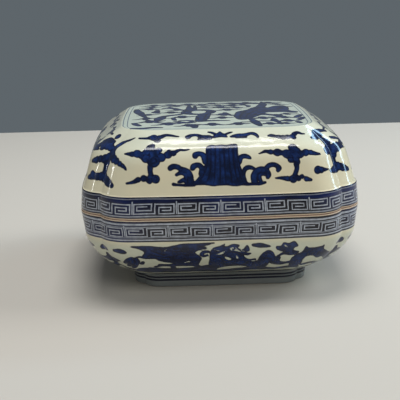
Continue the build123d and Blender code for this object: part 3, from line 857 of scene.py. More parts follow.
BIRD_LINES = [
    [(-15.6, -1, 0.3), (-16.6, 5, 0.5), (-13.6, 11.4, 0.4), (-8, 12, 0.3)],
    [(-1.4, 6, 0.3), (-1.6, 0, 0.5), (-4.4, -6, 0.5), (-5.6, -14, 0.5), (-6.6, -24, 0.3)],
    [(-9.6, -14, 0.3), (-9.6, -20, 0.5), (-9.4, -25, 0.3)],
    [(-28.4, -12, 0.3), (-29, -16, 0.5), (-30.4, -19.4, 0.3)],
]


def paint_side(painting, motif):
    """Paints one side of the dome or of the belly."""
    if motif == "dome":
        painting.brush(BACK_WAVES)
        painting.fill([ROCK])
        painting.vein(ROCK_LINES)
        painting.brush(FRONT_WAVES + CLOUD_TAILS + SCROLLS)
        for dot in CLOUD_LOBES:
            painting.dot(*dot)
        painting.vein(CLOUD_LINES)
        painting.fill([BUD])
    else:
        painting.fill([BODY, MANE, HUMP, LEG, CLAWS, CLAW_RIGHT])
        painting.vein(MANE_LINES + CLAW_LINES)
        painting.brush(BELLY_STROKES)
        painting.leave(BELLY_GAPS + MANE_GAPS)
        painting.vein(BODY_LINES)


def paint_round(along_side, corner, up, motif, corners):
    """Paints a band of rows all round: each side, and then each corner on its rings
    turned by half a side. along_side is the distance from the side's middle and
    corner the distance from the nearest groove, in millimetres."""
    fields = {name: np.full(up.shape, OFF) for name in ("cover", "depth", "veins")}
    half = COLUMNS // 2
    for side in range(SIDES):
        block = np.s_[:, side * COLUMNS:(side + 1) * COLUMNS]
        flip = -1 if side in MIRRORED_SIDES else 1
        painting = Painting(along_side[block] * flip, up[block])
        paint_side(painting, motif)
        for name, field in fields.items():
            field[block] = getattr(painting, name)
    fields = {name: np.roll(field, half, 1) for name, field in fields.items()}
    corner, up = np.roll(corner, half, 1), np.roll(up, half, 1)
    for side in range(SIDES):
        block = np.s_[:, side * COLUMNS:(side + 1) * COLUMNS]
        painting = Painting(corner[block], up[block])
        for name, field in fields.items():
            setattr(painting, name, field[block])
        strokes, dots = corners[side % len(corners)]
        painting.brush(strokes, CORNER_WEIGHT)
        for x, y, radius in dots:
            painting.dot(x, y, radius + CORNER_WEIGHT)
    return {name: np.roll(field, -half, 1) for name, field in fields.items()}


def paint_cloud(painting, across, up, size, lean):
    """Paints a small cloud: dots, and a tail to each side that leans up or down."""
    size = size * CLOUD_SCALE
    for x, y, radius in SMALL_CLOUD_DOTS:
        painting.dot(across + x * size, up + y * size, radius * size)
    for way in (-1, 1):
        tail = [
            (across + way * x * size, up + (way * lean * rise - sag) * size, radius * size)
            for x, rise, sag, radius in SMALL_CLOUD_TAIL
        ]
        painting.brush([tail])


def paint_panel(x, y):
    """Paints the panel at places from its middle, in millimetres."""
    painting = Painting(x, y)
    painting.fill([WING])
    painting.vein(WING_LINES)
    painting.brush(PANEL_STROKES, PANEL_WEIGHT)
    for cloud in PANEL_CLOUDS:
        paint_cloud(painting, *cloud)
    painting.brush(BIRDS, BIRD_WEIGHT)
    painting.vein(BIRD_LINES)
    painting.leave(PANEL_GAPS)
    return {name: getattr(painting, name) for name in ("cover", "depth", "veins")}


# Meshes


def ring_sides(ring):
    """The four sides of a closed row, each from corner to corner and the opposite
    ones in the same direction: low, right, high and left."""
    low, right, high, left = (
        np.take(ring, np.arange(side * COLUMNS, (side + 1) * COLUMNS + 1), 0, mode="wrap")
        for side in (3, 0, 1, 2)
    )
    return low, right, high[::-1], left[::-1]


class Surface:
    """Collects vertices, their attributes and faces, and makes one mesh object."""

    def __init__(self, names):
        self.points = []
        self.values = {name: [] for name in names}
        self.faces = []
        self.places = []
        self.count = 0

    def add_points(self, points, **values):
        """Adds vertices and gives their numbers, in the shape of the array."""
        shape = points.shape[:-1]
        numbers = self.count + np.arange(int(np.prod(shape))).reshape(shape)
        self.points.append(points.reshape(-1, 3))
        for name, stored in self.values.items():
            value = values.get(name, OFF)
            stored.append(np.broadcast_to(value, shape).astype(float).reshape(-1))
        self.count += numbers.size
        return numbers

    def add_quads(self, here, after, left, right):
        """Faces from a grid's columns here to the columns after them. Rows run down
        or inwards, and columns anticlockwise, so the faces point outwards. left and
        right are the places round the box of each face's two sides."""
        quads = np.stack([here[:-1], here[1:], after[1:], after[:-1]], -1)
        self.faces.append(quads.reshape(-1, 4))
        place = np.broadcast_to(np.stack([left, left, right, right], -1), quads.shape)
        self.places.append(place.reshape(-1))

    def add_tube(self, numbers):
        """Faces between closed rows."""
        columns = np.arange(numbers.shape[1])
        after = np.roll(numbers, -1, 1)
        self.add_quads(numbers, after, columns / COLUMNS, (columns + 1) / COLUMNS)

    def add_fan(self, ring, point, outwards, **values):
        """Closes a ring with faces round one more vertex."""
        middle = self.add_points(np.asarray(point, float)[None], **values)[0]
        after = np.roll(ring, -1)
        middles = np.full(ring.shape, middle)
        order = [middles, ring, after] if outwards else [middles, after, ring]
        self.faces.append(np.stack(order, -1))
        self.places.append(np.zeros(3 * len(ring)))

    def add_sheet(self, ring, rise, painted):
        """Closes a ring of four sides with a Coons patch: the sum of the two blends
        between opposite sides, less the blend between the corners. rise gives the
        height above the ring, and painted the attributes, at places from -1 to 1."""
        low, right, high, left = ring_sides(np.concatenate(self.points)[ring])
        t = np.linspace(0, 1, COLUMNS + 1)
        s, u = t[:, None, None], t[None, :, None]
        grid = (1 - u) * low[:, None] + u * high[:, None] + (1 - s) * left[None] + s * right[None]
        grid -= (1 - s) * (1 - u) * low[0] + s * (1 - u) * low[-1]
        grid -= (1 - s) * u * high[0] + s * u * high[-1]
        x, y = 2 * t[:, None] - 1, 2 * t[None] - 1
        grid[..., 2] += rise(x, y)
        inner = grid[1:-1, 1:-1]
        values = painted(inner, x[1:-1], y[:, 1:-1])
        numbers = np.zeros(grid.shape[:2], int)
        numbers[1:-1, 1:-1] = self.add_points(inner, **values)
        numbers[:, 0], numbers[-1], numbers[:, -1], numbers[0] = ring_sides(ring)
        nowhere = np.zeros(COLUMNS)
        self.add_quads(numbers[:, :-1], numbers[:, 1:], nowhere, nowhere)

    def make(self, name, material):
        """Makes the object, with its attributes and smooth faces."""
        mesh = bpy.data.meshes.new(name)
        points = np.concatenate(self.points)
        corners = np.concatenate([faces.reshape(-1) for faces in self.faces])
        counts = np.concatenate([np.full(len(faces), faces.shape[1]) for faces in self.faces])
        mesh.vertices.add(len(points))
        mesh.loops.add(len(corners))
        mesh.polygons.add(len(counts))
        mesh.vertices.foreach_set("co", points.reshape(-1).astype(np.float32))
        mesh.loops.foreach_set("vertex_index", corners.astype(np.int32))
        starts = np.concatenate([[0], np.cumsum(counts)[:-1]])
        mesh.polygons.foreach_set("loop_start", starts.astype(np.int32))
        mesh.polygons.foreach_set("use_smooth", np.ones(len(counts), bool))
        mesh.update(calc_edges=True)
        for label, stored in self.values.items():
            attribute = mesh.attributes.new(label, "FLOAT", "POINT")
            attribute.data.foreach_set("value", np.concatenate(stored).astype(np.float32))
        place = mesh.attributes.new("place", "FLOAT", "CORNER")
        place.data.foreach_set("value", np.concatenate(self.places).astype(np.float32))
        mesh.validate()
        mesh.materials.append(material)
        piece = bpy.data.objects.new(name, mesh)
        bpy.context.scene.collection.objects.link(piece)
        return piece


def groove_gap(sizes, along_side):
    """Distance from the nearest groove in millimetres, below zero before it."""
    half = half_length([np.asarray(size)[:, None] for size in sizes])
    return np.where(along_side > 0, along_side - half, along_side + half) / MM


def add_rows(surface, rows, **values):
    """Adds rings from a list of (sizes, height), and gives their vertex numbers."""
    sizes = np.array([size for size, _ in rows], float).T
    points, _ = rings(sizes, np.array([height for _, height in rows], float))
    return surface.add_points(points, **values)


def add_painted_rows(surface, sizes, heights, up, motif, corners):
    """Adds painted rings of the dome or the belly, and gives their vertex numbers."""
    points, along_side = rings(sizes, heights)
    corner = groove_gap(sizes, along_side)
    up = np.broadcast_to(up[:, None] / MM, along_side.shape)
    painted = paint_round(along_side / MM, corner, up, motif, corners)
    return surface.add_points(points, **painted)


def lid_band(shape):
    """Rows of the lid's band: the ledge under the dome, then down to the rim."""
    size, rim = shape.size, shape.rim
    top = (shape.band_reach, size.side_bow, size.corner_lobe, size.dome_turn)
    rows = []
    for inward, down in LEDGE:
        rows.append((inset(top, size.dome_step * inward), shape.band_top - size.dome_step * down))
    high, low = rows[-1][1], shape.rim_height + size.rim_ease
    for share in LID_BAND_ROWS:
        rows.append((blend_sizes(top, rim, share), blend(high, low, share)))
    return rows


def lid_rim(shape):
    """Bare rows round the lid's rim, from its outer edge to its inner one."""
    rim, height = shape.rim, shape.rim_height
    ease, wall = shape.size.rim_ease, shape.size.lid_wall
    inner_ease = ease / 2
    cut = inner_ease * EDGE_CUT
    return soft_edge(rim, 0, height, ease, ease, (30, 60, 90)) + [
        (inset(rim, (wall + ease) / 2), height),
        (inset(rim, wall - inner_ease), height),
        (inset(rim, wall - cut), height + cut),
        (inset(rim, wall), height + inner_ease),
    ]


def lid_hollow(shape):
    """Rows up the inside of the lid: an upright wall, the dome less its wall, and
    the ceiling."""
    size = shape.size
    upright = inset(shape.rim, size.lid_wall)
    rows = [(upright, shape.rim_height + LOWEST_GLAZE), (upright, shape.lip_top + size.lip_ease)]
    reach, height, _ = shape.dome_curve(HOLLOW_ROWS)
    for outer, inner, level in zip(reach, *inset_curve(reach, height, size.dome_wall)):
        rows.append((inset(shape.dome_sizes(outer), outer - inner), level))
    ceiling, level = rows[-1]
    return rows + [(shrunk(ceiling, share), level) for share in CEILING_ROWS]


def build_lid(shape, material):
    """Lid: the panel as a patch, then rows down the dome and the band, round the
    rim, and up the hollow to its ceiling."""
    surface = Surface(PAINTED)
    reach, height, up = (values[::-1] for values in shape.dome_curve(DOME_ROWS))
    corners = (RIGHT_CORNER, LEFT_CORNER)
    dome = add_painted_rows(surface, shape.dome_sizes(reach), height, up, "dome", corners)
    hollow = lid_hollow(shape)
    numbers = np.concatenate([
        dome,
        add_rows(surface, lid_band(shape), band=INSIDE),
        add_rows(surface, lid_rim(shape), bare=BARE),
        add_rows(surface, hollow),
    ])
    surface.add_tube(numbers)
    surface.add_fan(numbers[-1], (0, 0, hollow[-1][1]), outwards=False)
    panel = shape.panel_reach / MM
    surface.add_sheet(
        dome[0],
        lambda x, y: shape.size.panel_crown * (1 - x**2) * (1 - y**2),
        lambda points, x, y: {
            **paint_panel(points[..., 0] / MM, points[..., 1] / MM),
            "edge": panel * (1 - np.maximum(np.abs(x), np.abs(y))),
        },
    )
    return surface.make("lid_shell", material)


def base_well(shape):
    """Rows of the base's inside: the floor, the belly less its wall, and the
    upright wall up to the lip."""
    size, rim = shape.size, shape.rim
    reach, height, _ = shape.belly_curve(BELLY_ROWS)
    inner_reach, inner_height = inset_curve(reach, height, size.base_wall)
    rows = []
    for i in range(BELLY_ROWS - 1, -1, -WELL_STEP):
        sizes = inset(shape.belly_sizes(reach[i]), reach[i] - inner_reach[i])
        rows.append((sizes, inner_height[i]))
    floor, level = rows[0]
    rows = [(shrunk(floor, share), level) for share in FLOOR_ROWS] + rows
    upright = inset(rim, size.lid_wall + size.lip_gap + size.lip_wall)
    top = shape.lip_top - LIP_TOP_EASES * size.lip_ease
    return rows + [(upright, shape.rim_height), (upright, top)]


def base_lip(shape):
    """Bare rows over the lip and out over the rim."""
    size, rim, top = shape.size, shape.rim, shape.lip_top
    outside = size.lid_wall + size.lip_gap
    ease = size.lip_ease
    rows = soft_edge(rim, outside + size.lip_wall, top, -ease, -ease, (0, 45, 90))
    rows += soft_edge(rim, outside, top, ease, -ease, (90, 45, 0))
    rows.append((inset(rim, outside), shape.rim_height))
    return rows + soft_edge(rim, 0, shape.rim_height, size.rim_ease, -size.rim_ease, (90, 60, 30))


def base_band(shape):
    """Rows down the base's band."""
    bottom = shape.belly_sizes(shape.belly_reach)
    high, low = shape.rim_height - shape.size.rim_ease, shape.band_bottom
    return [
        (blend_sizes(shape.rim, bottom, share), blend(high, low, share))
        for share in BASE_BAND_ROWS
    ]


def base_foot(shape):
    """Rows down the foot, round its bare edge, and up into the hollow under it."""
    size = shape.size
    top = (shape.foot_reach, size.foot_bow, size.foot_lobe, size.foot_turn)
    low = (shape.foot_edge, *top[1:])
    outside = [
        (blend_sizes(top, low, share), blend(size.foot_height, size.foot_ease, share))
        for share in FOOT_ROWS
    ]
    inner_low = (low[0] - size.foot_wall, size.foot_bow, size.recess_lobe, size.foot_turn)
    inner_top = (top[0] - size.foot_wall, *inner_low[1:])
    cut = size.foot_ease * EDGE_CUT
    edge = [
        (inset(low, cut), cut),
        (inset(low, size.foot_ease), 0),
        (inner_low, 0),
        (inner_low, BARE_STRIP),
    ]
    depth = size.recess_depth
    (first, up), (last, down) = RECESS_WALL
    recess = [
        (blend_sizes(inner_low, inner_top, first), up * BARE_STRIP),
        (blend_sizes(inner_low, inner_top, last), depth - down * BARE_STRIP),
    ]
    recess += [(shrunk(inner_top, share), depth) for share in RECESS_ROWS]
    return outside, edge, recess


def build_base(shape, material):
    """Base: rows from the floor of the well up its wall and over the lip, then out
    along the rim, down the band, the belly and the foot, and up into the recess."""
    surface = Surface(PAINTED)
    well = base_well(shape)
    foot, edge, recess = base_foot(shape)
    reach, height, down = shape.belly_curve(BELLY_ROWS)
    sizes = shape.belly_sizes(reach)
    numbers = np.concatenate([
        add_rows(surface, well),
        add_rows(surface, base_lip(shape), bare=BARE),
        add_rows(surface, base_band(shape), band=INSIDE),
        add_painted_rows(surface, sizes, height, -down, "belly", (BELLY_CORNER,)),
        add_rows(surface, foot, foot=INSIDE),
        add_rows(surface, edge, foot=INSIDE, bare=BARE),
        add_rows(surface, recess),
    ])
    surface.add_tube(numbers)
    surface.add_fan(numbers[0], (0, 0, well[0][1]), outwards=True)
    surface.add_fan(numbers[-1], (0, 0, recess[-1][1]), outwards=False)
    return surface.make("base_shell", material)


def build_paste(material):
    """Cake of paste: squarish rings, from a swirled top down to a flat underside.
    Each ring is a superellipse, and the top falls from its middle to its shoulder."""
    middle = PASTE_HIGH.z - PASTE_DIP
    turn = np.linspace(0, 2 * pi, PASTE_COLUMNS, endpoint=False)[None]
    power = PASTE_POWER
    square = (np.abs(np.cos(turn)) ** power + np.abs(np.sin(turn)) ** power) ** (-1 / power)
    outline = PASTE_HIGH.x * square * np.stack([np.cos(turn), np.sin(turn)])
    share = np.linspace(PASTE_MIDDLE, 1, PASTE_ROWS)[:, None]
    swirl = np.sin(turn + PASTE_SWIRL_TURN * share) * np.sqrt(np.sin(pi * share))
    top = blend(PASTE_SHOULDER, middle, 1 - share**PASTE_MOUND)
    top = top + PASTE_SWIRL * swirl * (1 - share**PASTE_SWIRL_FADE)
    side_share, side = (np.array(values)[:, None] for values in zip(*PASTE_SIDE))
    side = np.broadcast_to(side * MM, (len(PASTE_SIDE), PASTE_COLUMNS))
    shares = np.concatenate([PASTE_SIDE[0][0] * share, side_share])
    surface = Surface(())
    points = np.stack([*(outline * shares), np.concatenate([top, side])], -1)
    numbers = surface.add_points(points)
    surface.add_tube(numbers)
    surface.add_fan(numbers[0], (0, 0, middle), outwards=True)
    surface.add_fan(numbers[-1], (0, 0, PASTE_LOW.z), outwards=False)
    return surface.make("paste_cake", material)


# Materials


# Noise patterns: (scale per metre, detail, roughness)
NOISES = {
    "wobble": (260, 2, 0.5),      # unsteady edges of the strokes
    "hairs": (420, 3, 0.6),       # marks of the brush's hairs
    "mottle": (230, 4, 0.65),     # light and dark in the wash
    "patches": (28, 3, 0.5),      # thick and thin paint and glaze
    "wander": (60, 2, 0.5),       # rise and fall of the band's lines
    "drift": (180, 2, 0.5),       # sideways drift of the fret
    "washes": (45, 3, 0.5),       # strong and weak wash of the bands
    "specks": (340, 2, 0.4),      # iron specks
    "ragged": (120, 3, 0.5),      # edge of the glaze at the rims
    "grain": (900, 3, 0.6),       # bare clay
    "ripple": (90, 2, 0.5),       # unevenness of the glaze
    "clumps": (300, 4, 0.6),      # of the paste
    "fibres": (1100, 4, 0.7),     # in the paste
}
# Masks rise or fall between two values, here of distances in millimetres. How far
# inside a shape its outline ends, and the soft edges of strokes, veins and fret
STROKE_EDGE = (-0.35, 0)
OUTLINE_END = (0.35, 0.95)
VEIN_EDGE = (-0.3, 0.25)
FRET_EDGE = (0.14, 0.38)
BARE_SEAM = (0.62, 0.9)           # how far from the seam the rims are bare
# The dark join at the seam is a painted shadow in the gap between lid and base
JOIN_SHADOW_LINE = (0.12, 0.26)          # how far from the seam the join is dark
# High on the dome the cooler glaze is painted skylight, where the dome faces up
HIGH_DOME = (20, 38)              # above the seam, where the dome's glaze grows cooler
LOW_BELLY = (10, 15)              # below the seam, where the belly's glaze grows cooler
BROWN_FOOT = 5                    # below this height bare clay is brown
# Masks of the attributes
ON_PANEL, ON_BAND, ON_RIM, ON_FOOT, ON_BARE = (-1, 1), (-1, 0.6), (-1, 0.5), (0, 0.9), (0, 1)
UPRIGHT = 0.9                     # a face stands upright below this slope of its normal
# Masks of the noise patterns
THIN_WASH, MOTTLED, WASHED = (0.15, 0.5), (0.36, 0.68), (0.3, 0.7)
THIN_PALE, PATCHY_BAND = (0.25, 0.7), (0.45, 0.6)
PATCHY_GLAZE, SPECKLED = (0.35, 0.75), (0.78, 0.82)
# How far noise moves the painting, in millimetres
STROKE_WOBBLE, HAIR_DEPTH, LINE_WANDER = 0.6, 0.5, 0.9
FRET_DRIFT, FRET_WOBBLE, RAGGED_RIM = 0.7, 0.35, 0.5
# Shares of one colour over another
DARK_BLUE, LIGHT_BLUE = 0.4, 1.6  # of the wash
# The dome's share is painted skylight; the belly's share only makes the glaze cooler low down
SKY_TINT_DOME, COOL_PATCHES, COOL_BELLY = 0.6, 0.2, 0.65
# The foot's share is how far its greyish glaze darkens it, as painted shade
SPECK_SHARE, PANEL_LINE_SHARE, FOOT_SHADE_SHARE, BAND_PATCHES = 0.5, 0.8, 0.85, 0.6
PALE_LEAST = 0.65                 # strength of the pale lines where they are thinnest
CLAY_SHADE, PASTE_SHADE = 0.7, 0.6
# Roughness: (least, most)
GLAZE_GLOSS = (0.1, 0.75)         # of glaze and of bare clay
PASTE_GLOSS = (0.28, 0.5)
GLAZE_IOR = 1.5
# Bumps: (strength, distance), and the share of the grain in the clay's and the glaze's
GLAZE_BUMP, PASTE_BUMP = (0.3, 0.7 * MM), (0.4, 0.3 * MM)
CLAY_BUMPS, GLAZE_BUMPS = 0.8, 0.03
FLOOR_ROUGHNESS = 0.9
# Pale lines round the bands: (height above the seam, half width, strength)
PALE_LINES = (
    (10, 0.2, 0.6), (1.75, 0.3, 0.8), (-2.2, 0.45, 1), (-3.6, 0.26, 0.7), (-9.15, 0.24, 0.6),
    (-10.35, 0.34, 1), (-11.75, 0.3, 1),
)
# Blue wash above the fret: (height, half width)
WASH_LINE, WASH_SOFTNESS = ((9, 0.9),), 0.3
LINE_SOFTNESS = 0.2
# Lines round the foot, and round the panel in from its edge: (place, half width)
FOOT_LINES = ((7.8, 0.55), (5.5, 0.5), (3.9, 0.5))
PANEL_LINES = ((1.3, 0.35), (4.0, 0.3))
# Key fret: one pair of hooked spirals, as bars (left, right, low, high) in
# millimetres. A bar is as thin as a line, so two of its numbers are the same
FRET_PITCH = 21.2
FRET_PAIRS = 6                    # pairs on each side
FRET_START = 0.012                # shift of the lid's fret, in pairs
BASE_FRET_SHIFT = 4.3             # further shift of the base's fret
BASE_FRET_STRETCH, BASE_FRET_LIFT = 1.07, 12.1      # from the lid's heights to the base's
FRET_BARS = (
    (0.3, 0.3, 2.9, 7.6), (0.3, 8.8, 7.5, 7.5), (8.8, 8.8, 4.6, 7.5), (1.7, 8.8, 4.5, 4.5),
    (1.7, 1.7, 4.5, 6.3), (1.7, 6.6, 6.3, 6.3), (0.3, 10.4, 3, 3), (10.4, 10.4, 3, 7.5),
    (10.4, 19.6, 7.5, 7.5), (19.6, 19.6, 3, 7.5), (12.3, 19.6, 3, 3), (12.3, 12.3, 3, 6),
    (12.3, 18, 6, 6), (18, 18, 4.5, 6), (14, 18, 4.5, 4.5), (20.7, 20.7, 3, 8.6),
)


class Value:
    """A number from a shader node. Sums, differences and products with it, and the
    methods here, add nodes to its tree and give a Value."""

    def __init__(self, socket):
        self.socket = socket

    def __add__(self, other):
        return maths("ADD", self, other)

    def __sub__(self, other):
        return maths("SUBTRACT", self, other)

    def __rsub__(self, other):
        return maths("SUBTRACT", other, self)

    def __mul__(self, other):
        return maths("MULTIPLY", self, other)

    def __neg__(self):
        return maths("MULTIPLY", self, -1)

    def __abs__(self):
        return maths("ABSOLUTE", self)

    def or_more(self, other):
        """The greater of the two."""
        return maths("MAXIMUM", self, other)

    def under(self, limit):
        """1 under the limit, and 0 over it."""
        return maths("LESS_THAN", self, limit)

    def rise(self, low, high):
        """0 below low, 1 above high, smooth between."""
        made = self.socket.id_data.nodes.new("ShaderNodeMapRange")
        made.interpolation_type = "SMOOTHSTEP"
        feed(made.inputs["Value"], self)
        feed(made.inputs["From Min"], low)
        feed(made.inputs["From Max"], high)
        return Value(made.outputs["Result"])

    def fall(self, low, high):
        """1 below low, 0 above high, smooth between."""
        return 1 - self.rise(low, high)

    def on_lines(self, lines, soft=LINE_SOFTNESS):
        """1 on painted lines (place, half width, and strength where it isn't 1)."""
        masks = []
        for middle, half, *strength in lines:
            mask = abs(self - middle).fall(half - soft, half + soft)
            masks.append(mask * strength[0] if strength else mask)
        most = masks[0]
        for mask in masks[1:]:
            most = most.or_more(mask)
        return most


def feed(socket, value):
    """Links a socket, or sets its number or colour."""
    if isinstance(value, (Value, bpy.types.NodeSocket)):
        source = value.socket if isinstance(value, Value) else value
        socket.id_data.links.new(source, socket)
    elif socket.type == "RGBA":
        socket.default_value = (*value, 1)
    else:
        socket.default_value = value


def maths(operation, *values):
    """A Math node of this operation."""
    tree = next(value for value in values if isinstance(value, Value)).socket.id_data
    made = tree.nodes.new("ShaderNodeMath")
    made.operation = operation
    for socket, value in zip(made.inputs, values):
        feed(socket, value)
    return Value(made.outputs[0])


def mix(share, first, second):
    """Colour between first and second."""
    made = share.socket.id_data.nodes.new("ShaderNodeMix")
    made.data_type = "RGBA"
    feed(made.inputs["Factor"], share)
    feed(made.inputs["A"], first)
    feed(made.inputs["B"], second)
    return made.outputs["Result"]


def attribute(tree, name):
    """Attribute of the mesh."""
    made = tree.nodes.new("ShaderNodeAttribute")
    made.attribute_name = name
    return Value(made.outputs["Fac"])


def noise(place, name):
    """One of the noise patterns, from 0 to 1, at a place."""
    made = place.id_data.nodes.new("ShaderNodeTexNoise")
    feed(made.inputs["Vector"], place)
    for label, value in zip(("Scale", "Detail", "Roughness"), NOISES[name]):
        feed(made.inputs[label], value)
    return Value(made.outputs["Fac"])


def sway(place, name):
    """One of the noise patterns, from -0.5 to 0.5."""
    return noise(place, name) - 0.5


def between(limits, share):
    """Number at a share of the way between two limits."""
    low, high = limits
    return share * (high - low) + low


def level_part(vector):
    """Z part of a vector."""
    split = vector.id_data.nodes.new("ShaderNodeSeparateXYZ")
    feed(split.inputs[0], vector)
    return Value(split.outputs["Z"])


def times(colour, factor):
    """A colour made darker or lighter."""
    return [part * factor for part in colour]


def new_material(name):
    """A material and its Principled shader."""
    material = bpy.data.materials.new(name)
    material.use_nodes = True
    return material, material.node_tree.nodes["Principled BSDF"]


def object_place(material):
    """Place on the piece, in metres."""
    return material.node_tree.nodes.new("ShaderNodeTexCoord").outputs["Object"]


def add_bump(shader, height, strength, distance):
    """Makes a shader's surface uneven by a height."""
    made = shader.id_data.nodes.new("ShaderNodeBump")
    feed(made.inputs["Strength"], strength)
    feed(made.inputs["Distance"], distance)
    feed(made.inputs["Height"], height)
    feed(shader.inputs["Normal"], made.outputs["Normal"])


def bar_group():
    """Node group: distance from a bar with the given middle and half sizes."""
    tree = bpy.data.node_groups.new("fret_bar", "ShaderNodeTree")
    for name in ("X", "Y", "Middle X", "Middle Y", "Half X", "Half Y"):
        tree.interface.new_socket(name=name, in_out="INPUT", socket_type="NodeSocketFloat")
    tree.interface.new_socket(name="Gap", in_out="OUTPUT", socket_type="NodeSocketFloat")
    start = {socket.name: Value(socket) for socket in tree.nodes.new("NodeGroupInput").outputs}
    end = tree.nodes.new("NodeGroupOutput").inputs
    across, up = (
        abs(start[axis] - start["Middle " + axis]) - start["Half " + axis] for axis in "XY"
    )
    feed(end["Gap"], across.or_more(up))
    return tree


def fret_distance(across, up):
    """Distance from the nearest bar of the fret, in millimetres."""
    group = bar_group()
    nearest = None
    for left, right, low, high in FRET_BARS:
        bar = across.socket.id_data.nodes.new("ShaderNodeGroup")
        bar.node_tree = group
        values = {
            "X": across, "Y": up,
            "Middle X": (left + right) / 2, "Middle Y": (low + high) / 2,
            "Half X": (right - left) / 2, "Half Y": (high - low) / 2,
        }
        for name, value in values.items():
            feed(bar.inputs[name], value)
        gap = Value(bar.outputs["Gap"])
        nearest = gap if nearest is None else maths("MINIMUM", nearest, gap)
    return nearest


def motif_paint(tree, place, colours):
    """Mask and colour of the motifs: dark at a shape's edge and along its veins, and
    a mottled wash inside, thin where the patches are."""
    cover = attribute(tree, "cover") + sway(place, "wobble") * STROKE_WOBBLE
    depth = attribute(tree, "depth") + noise(place, "hairs") * HAIR_DEPTH
    inner = depth.rise(*OUTLINE_END) * noise(place, "patches").rise(*THIN_WASH)
    wash = inner * attribute(tree, "veins").fall(*VEIN_EDGE)
    dark, light = (times(colours.cobalt_wash, share) for share in (DARK_BLUE, LIGHT_BLUE))
    blues = mix(noise(place, "mottle").rise(*MOTTLED), dark, light)
    return cover.rise(*STROKE_EDGE), mix(wash, colours.cobalt_line, blues)


def band_paint(tree, place, height, colours):
    """Colour of the bands: pale fret and lines on a dark ground, washed blue above
    the fret. The fret repeats with the place round the box."""
    wander = height + sway(place, "wander") * LINE_WANDER
    on_base = height.under(0)
    pairs = attribute(tree, "place") * FRET_PAIRS
    turn = pairs + on_base * (BASE_FRET_SHIFT / FRET_PITCH) + FRET_START
    across = maths("FRACT", turn) * FRET_PITCH + sway(place, "drift") * FRET_DRIFT
    base_level = wander * BASE_FRET_STRETCH + BASE_FRET_LIFT
    level = wander * (1 - on_base) + base_level * on_base
    gap = fret_distance(across, level) + sway(place, "wobble") * FRET_WOBBLE
    pale = gap.fall(*FRET_EDGE).or_more(wander.on_lines(PALE_LINES))
    pale = pale * (noise(place, "hairs").rise(*THIN_PALE) * (1 - PALE_LEAST) + PALE_LEAST)
    patches = noise(place, "patches").rise(*PATCHY_BAND) * BAND_PATCHES
    wash = wander.on_lines(WASH_LINE, WASH_SOFTNESS).or_more(patches)
    wash = wash * noise(place, "washes").rise(*WASHED)
    return mix(pale, mix(wash, colours.band_dark, colours.band_wash), colours.band_pale)


def glaze_paint(tree, place, height, colours):
    """Colour of the clear glaze, cooler in patches, low on the belly, and on the
    panel and high on the dome, where that coolness is painted skylight on faces
    that look up. It has a few specks, and the double line round the panel."""
    in_from_edge = attribute(tree, "edge")
    # Painted skylight: cooler glaze on the panel and high on the dome, where they face up
    sky_tint_high = height.rise(*HIGH_DOME) * SKY_TINT_DOME
    patches = noise(place, "patches").rise(*PATCHY_GLAZE) * COOL_PATCHES
    low_down = (-height).rise(*LOW_BELLY) * COOL_BELLY
    cool_and_sky_tint = in_from_edge.rise(*ON_PANEL).or_more(sky_tint_high + patches).or_more(low_down)
    glaze = mix(cool_and_sky_tint, colours.glaze, colours.glaze_cool_and_sky_tint)
    specks = noise(place, "specks").rise(*SPECKLED)
    glaze = mix(specks * SPECK_SHARE, glaze, colours.speck)
    lines = in_from_edge.on_lines(PANEL_LINES) * PANEL_LINE_SHARE
    return mix(lines, glaze, colours.panel_line)


def porcelain(colours):
    """Painted porcelain under a clear glaze. Motifs are where the attribute cover
    is above zero, and the bands' and the foot's lines follow the height. The rims
    are bare and pinkish, the foot's edge is brown, and the foot's glaze is darkened
    as painted shade. A dark line, a painted shadow in the gap, joins the lid and the
    base where their faces stand upright."""
    material, shader = new_material("painted_porcelain")
    tree, place = material.node_tree, object_place(material)
    level = level_part(place)
    height = (level - LID_LOW.z) * (1 / MM)
    foot_height = level * (1 / MM)
    band, bare = attribute(tree, "band"), attribute(tree, "bare")
    mask, cobalt = motif_paint(tree, place, colours)
    colour = mix(mask, glaze_paint(tree, place, height, colours), cobalt)
    colour = mix(band.rise(*ON_BAND), colour, band_paint(tree, place, height, colours))
    on_foot = attribute(tree, "foot").rise(*ON_FOOT)
    # Painted shade: the foot's glaze is darkened for the shade under the belly
    colour = mix(on_foot * FOOT_SHADE_SHARE, colour, colours.foot_shaded_glaze)
    colour = mix(foot_height.on_lines(FOOT_LINES) * on_foot, colour, colours.cobalt_line)
    seam = abs(height + sway(place, "ragged") * RAGGED_RIM)
    rim = seam.fall(*BARE_SEAM) * band.or_more(bare).rise(*ON_RIM)
    bare = rim.or_more(bare.rise(*ON_BARE))
    grain = noise(place, "grain")
    clay = mix(foot_height.under(BROWN_FOOT), colours.bare_clay, colours.foot_clay)
    colour = mix(bare, colour, mix(grain, clay, times(colours.bare_clay, CLAY_SHADE)))
    facing = level_part(tree.nodes.new("ShaderNodeNewGeometry").outputs["True Normal"])
    # Painted shadow in the gap between the lid and the base, on faces that stand upright
    join = seam.fall(*JOIN_SHADOW_LINE) * abs(facing).under(UPRIGHT) * rim
    feed(shader.inputs["Base Color"], mix(join, colour, colours.join))
    feed(shader.inputs["Roughness"], between(GLAZE_GLOSS, bare))
    feed(shader.inputs["IOR"], GLAZE_IOR)
    bumps = noise(place, "ripple") + grain * (bare * CLAY_BUMPS + GLAZE_BUMPS)
    add_bump(shader, bumps, *GLAZE_BUMP)
    return material


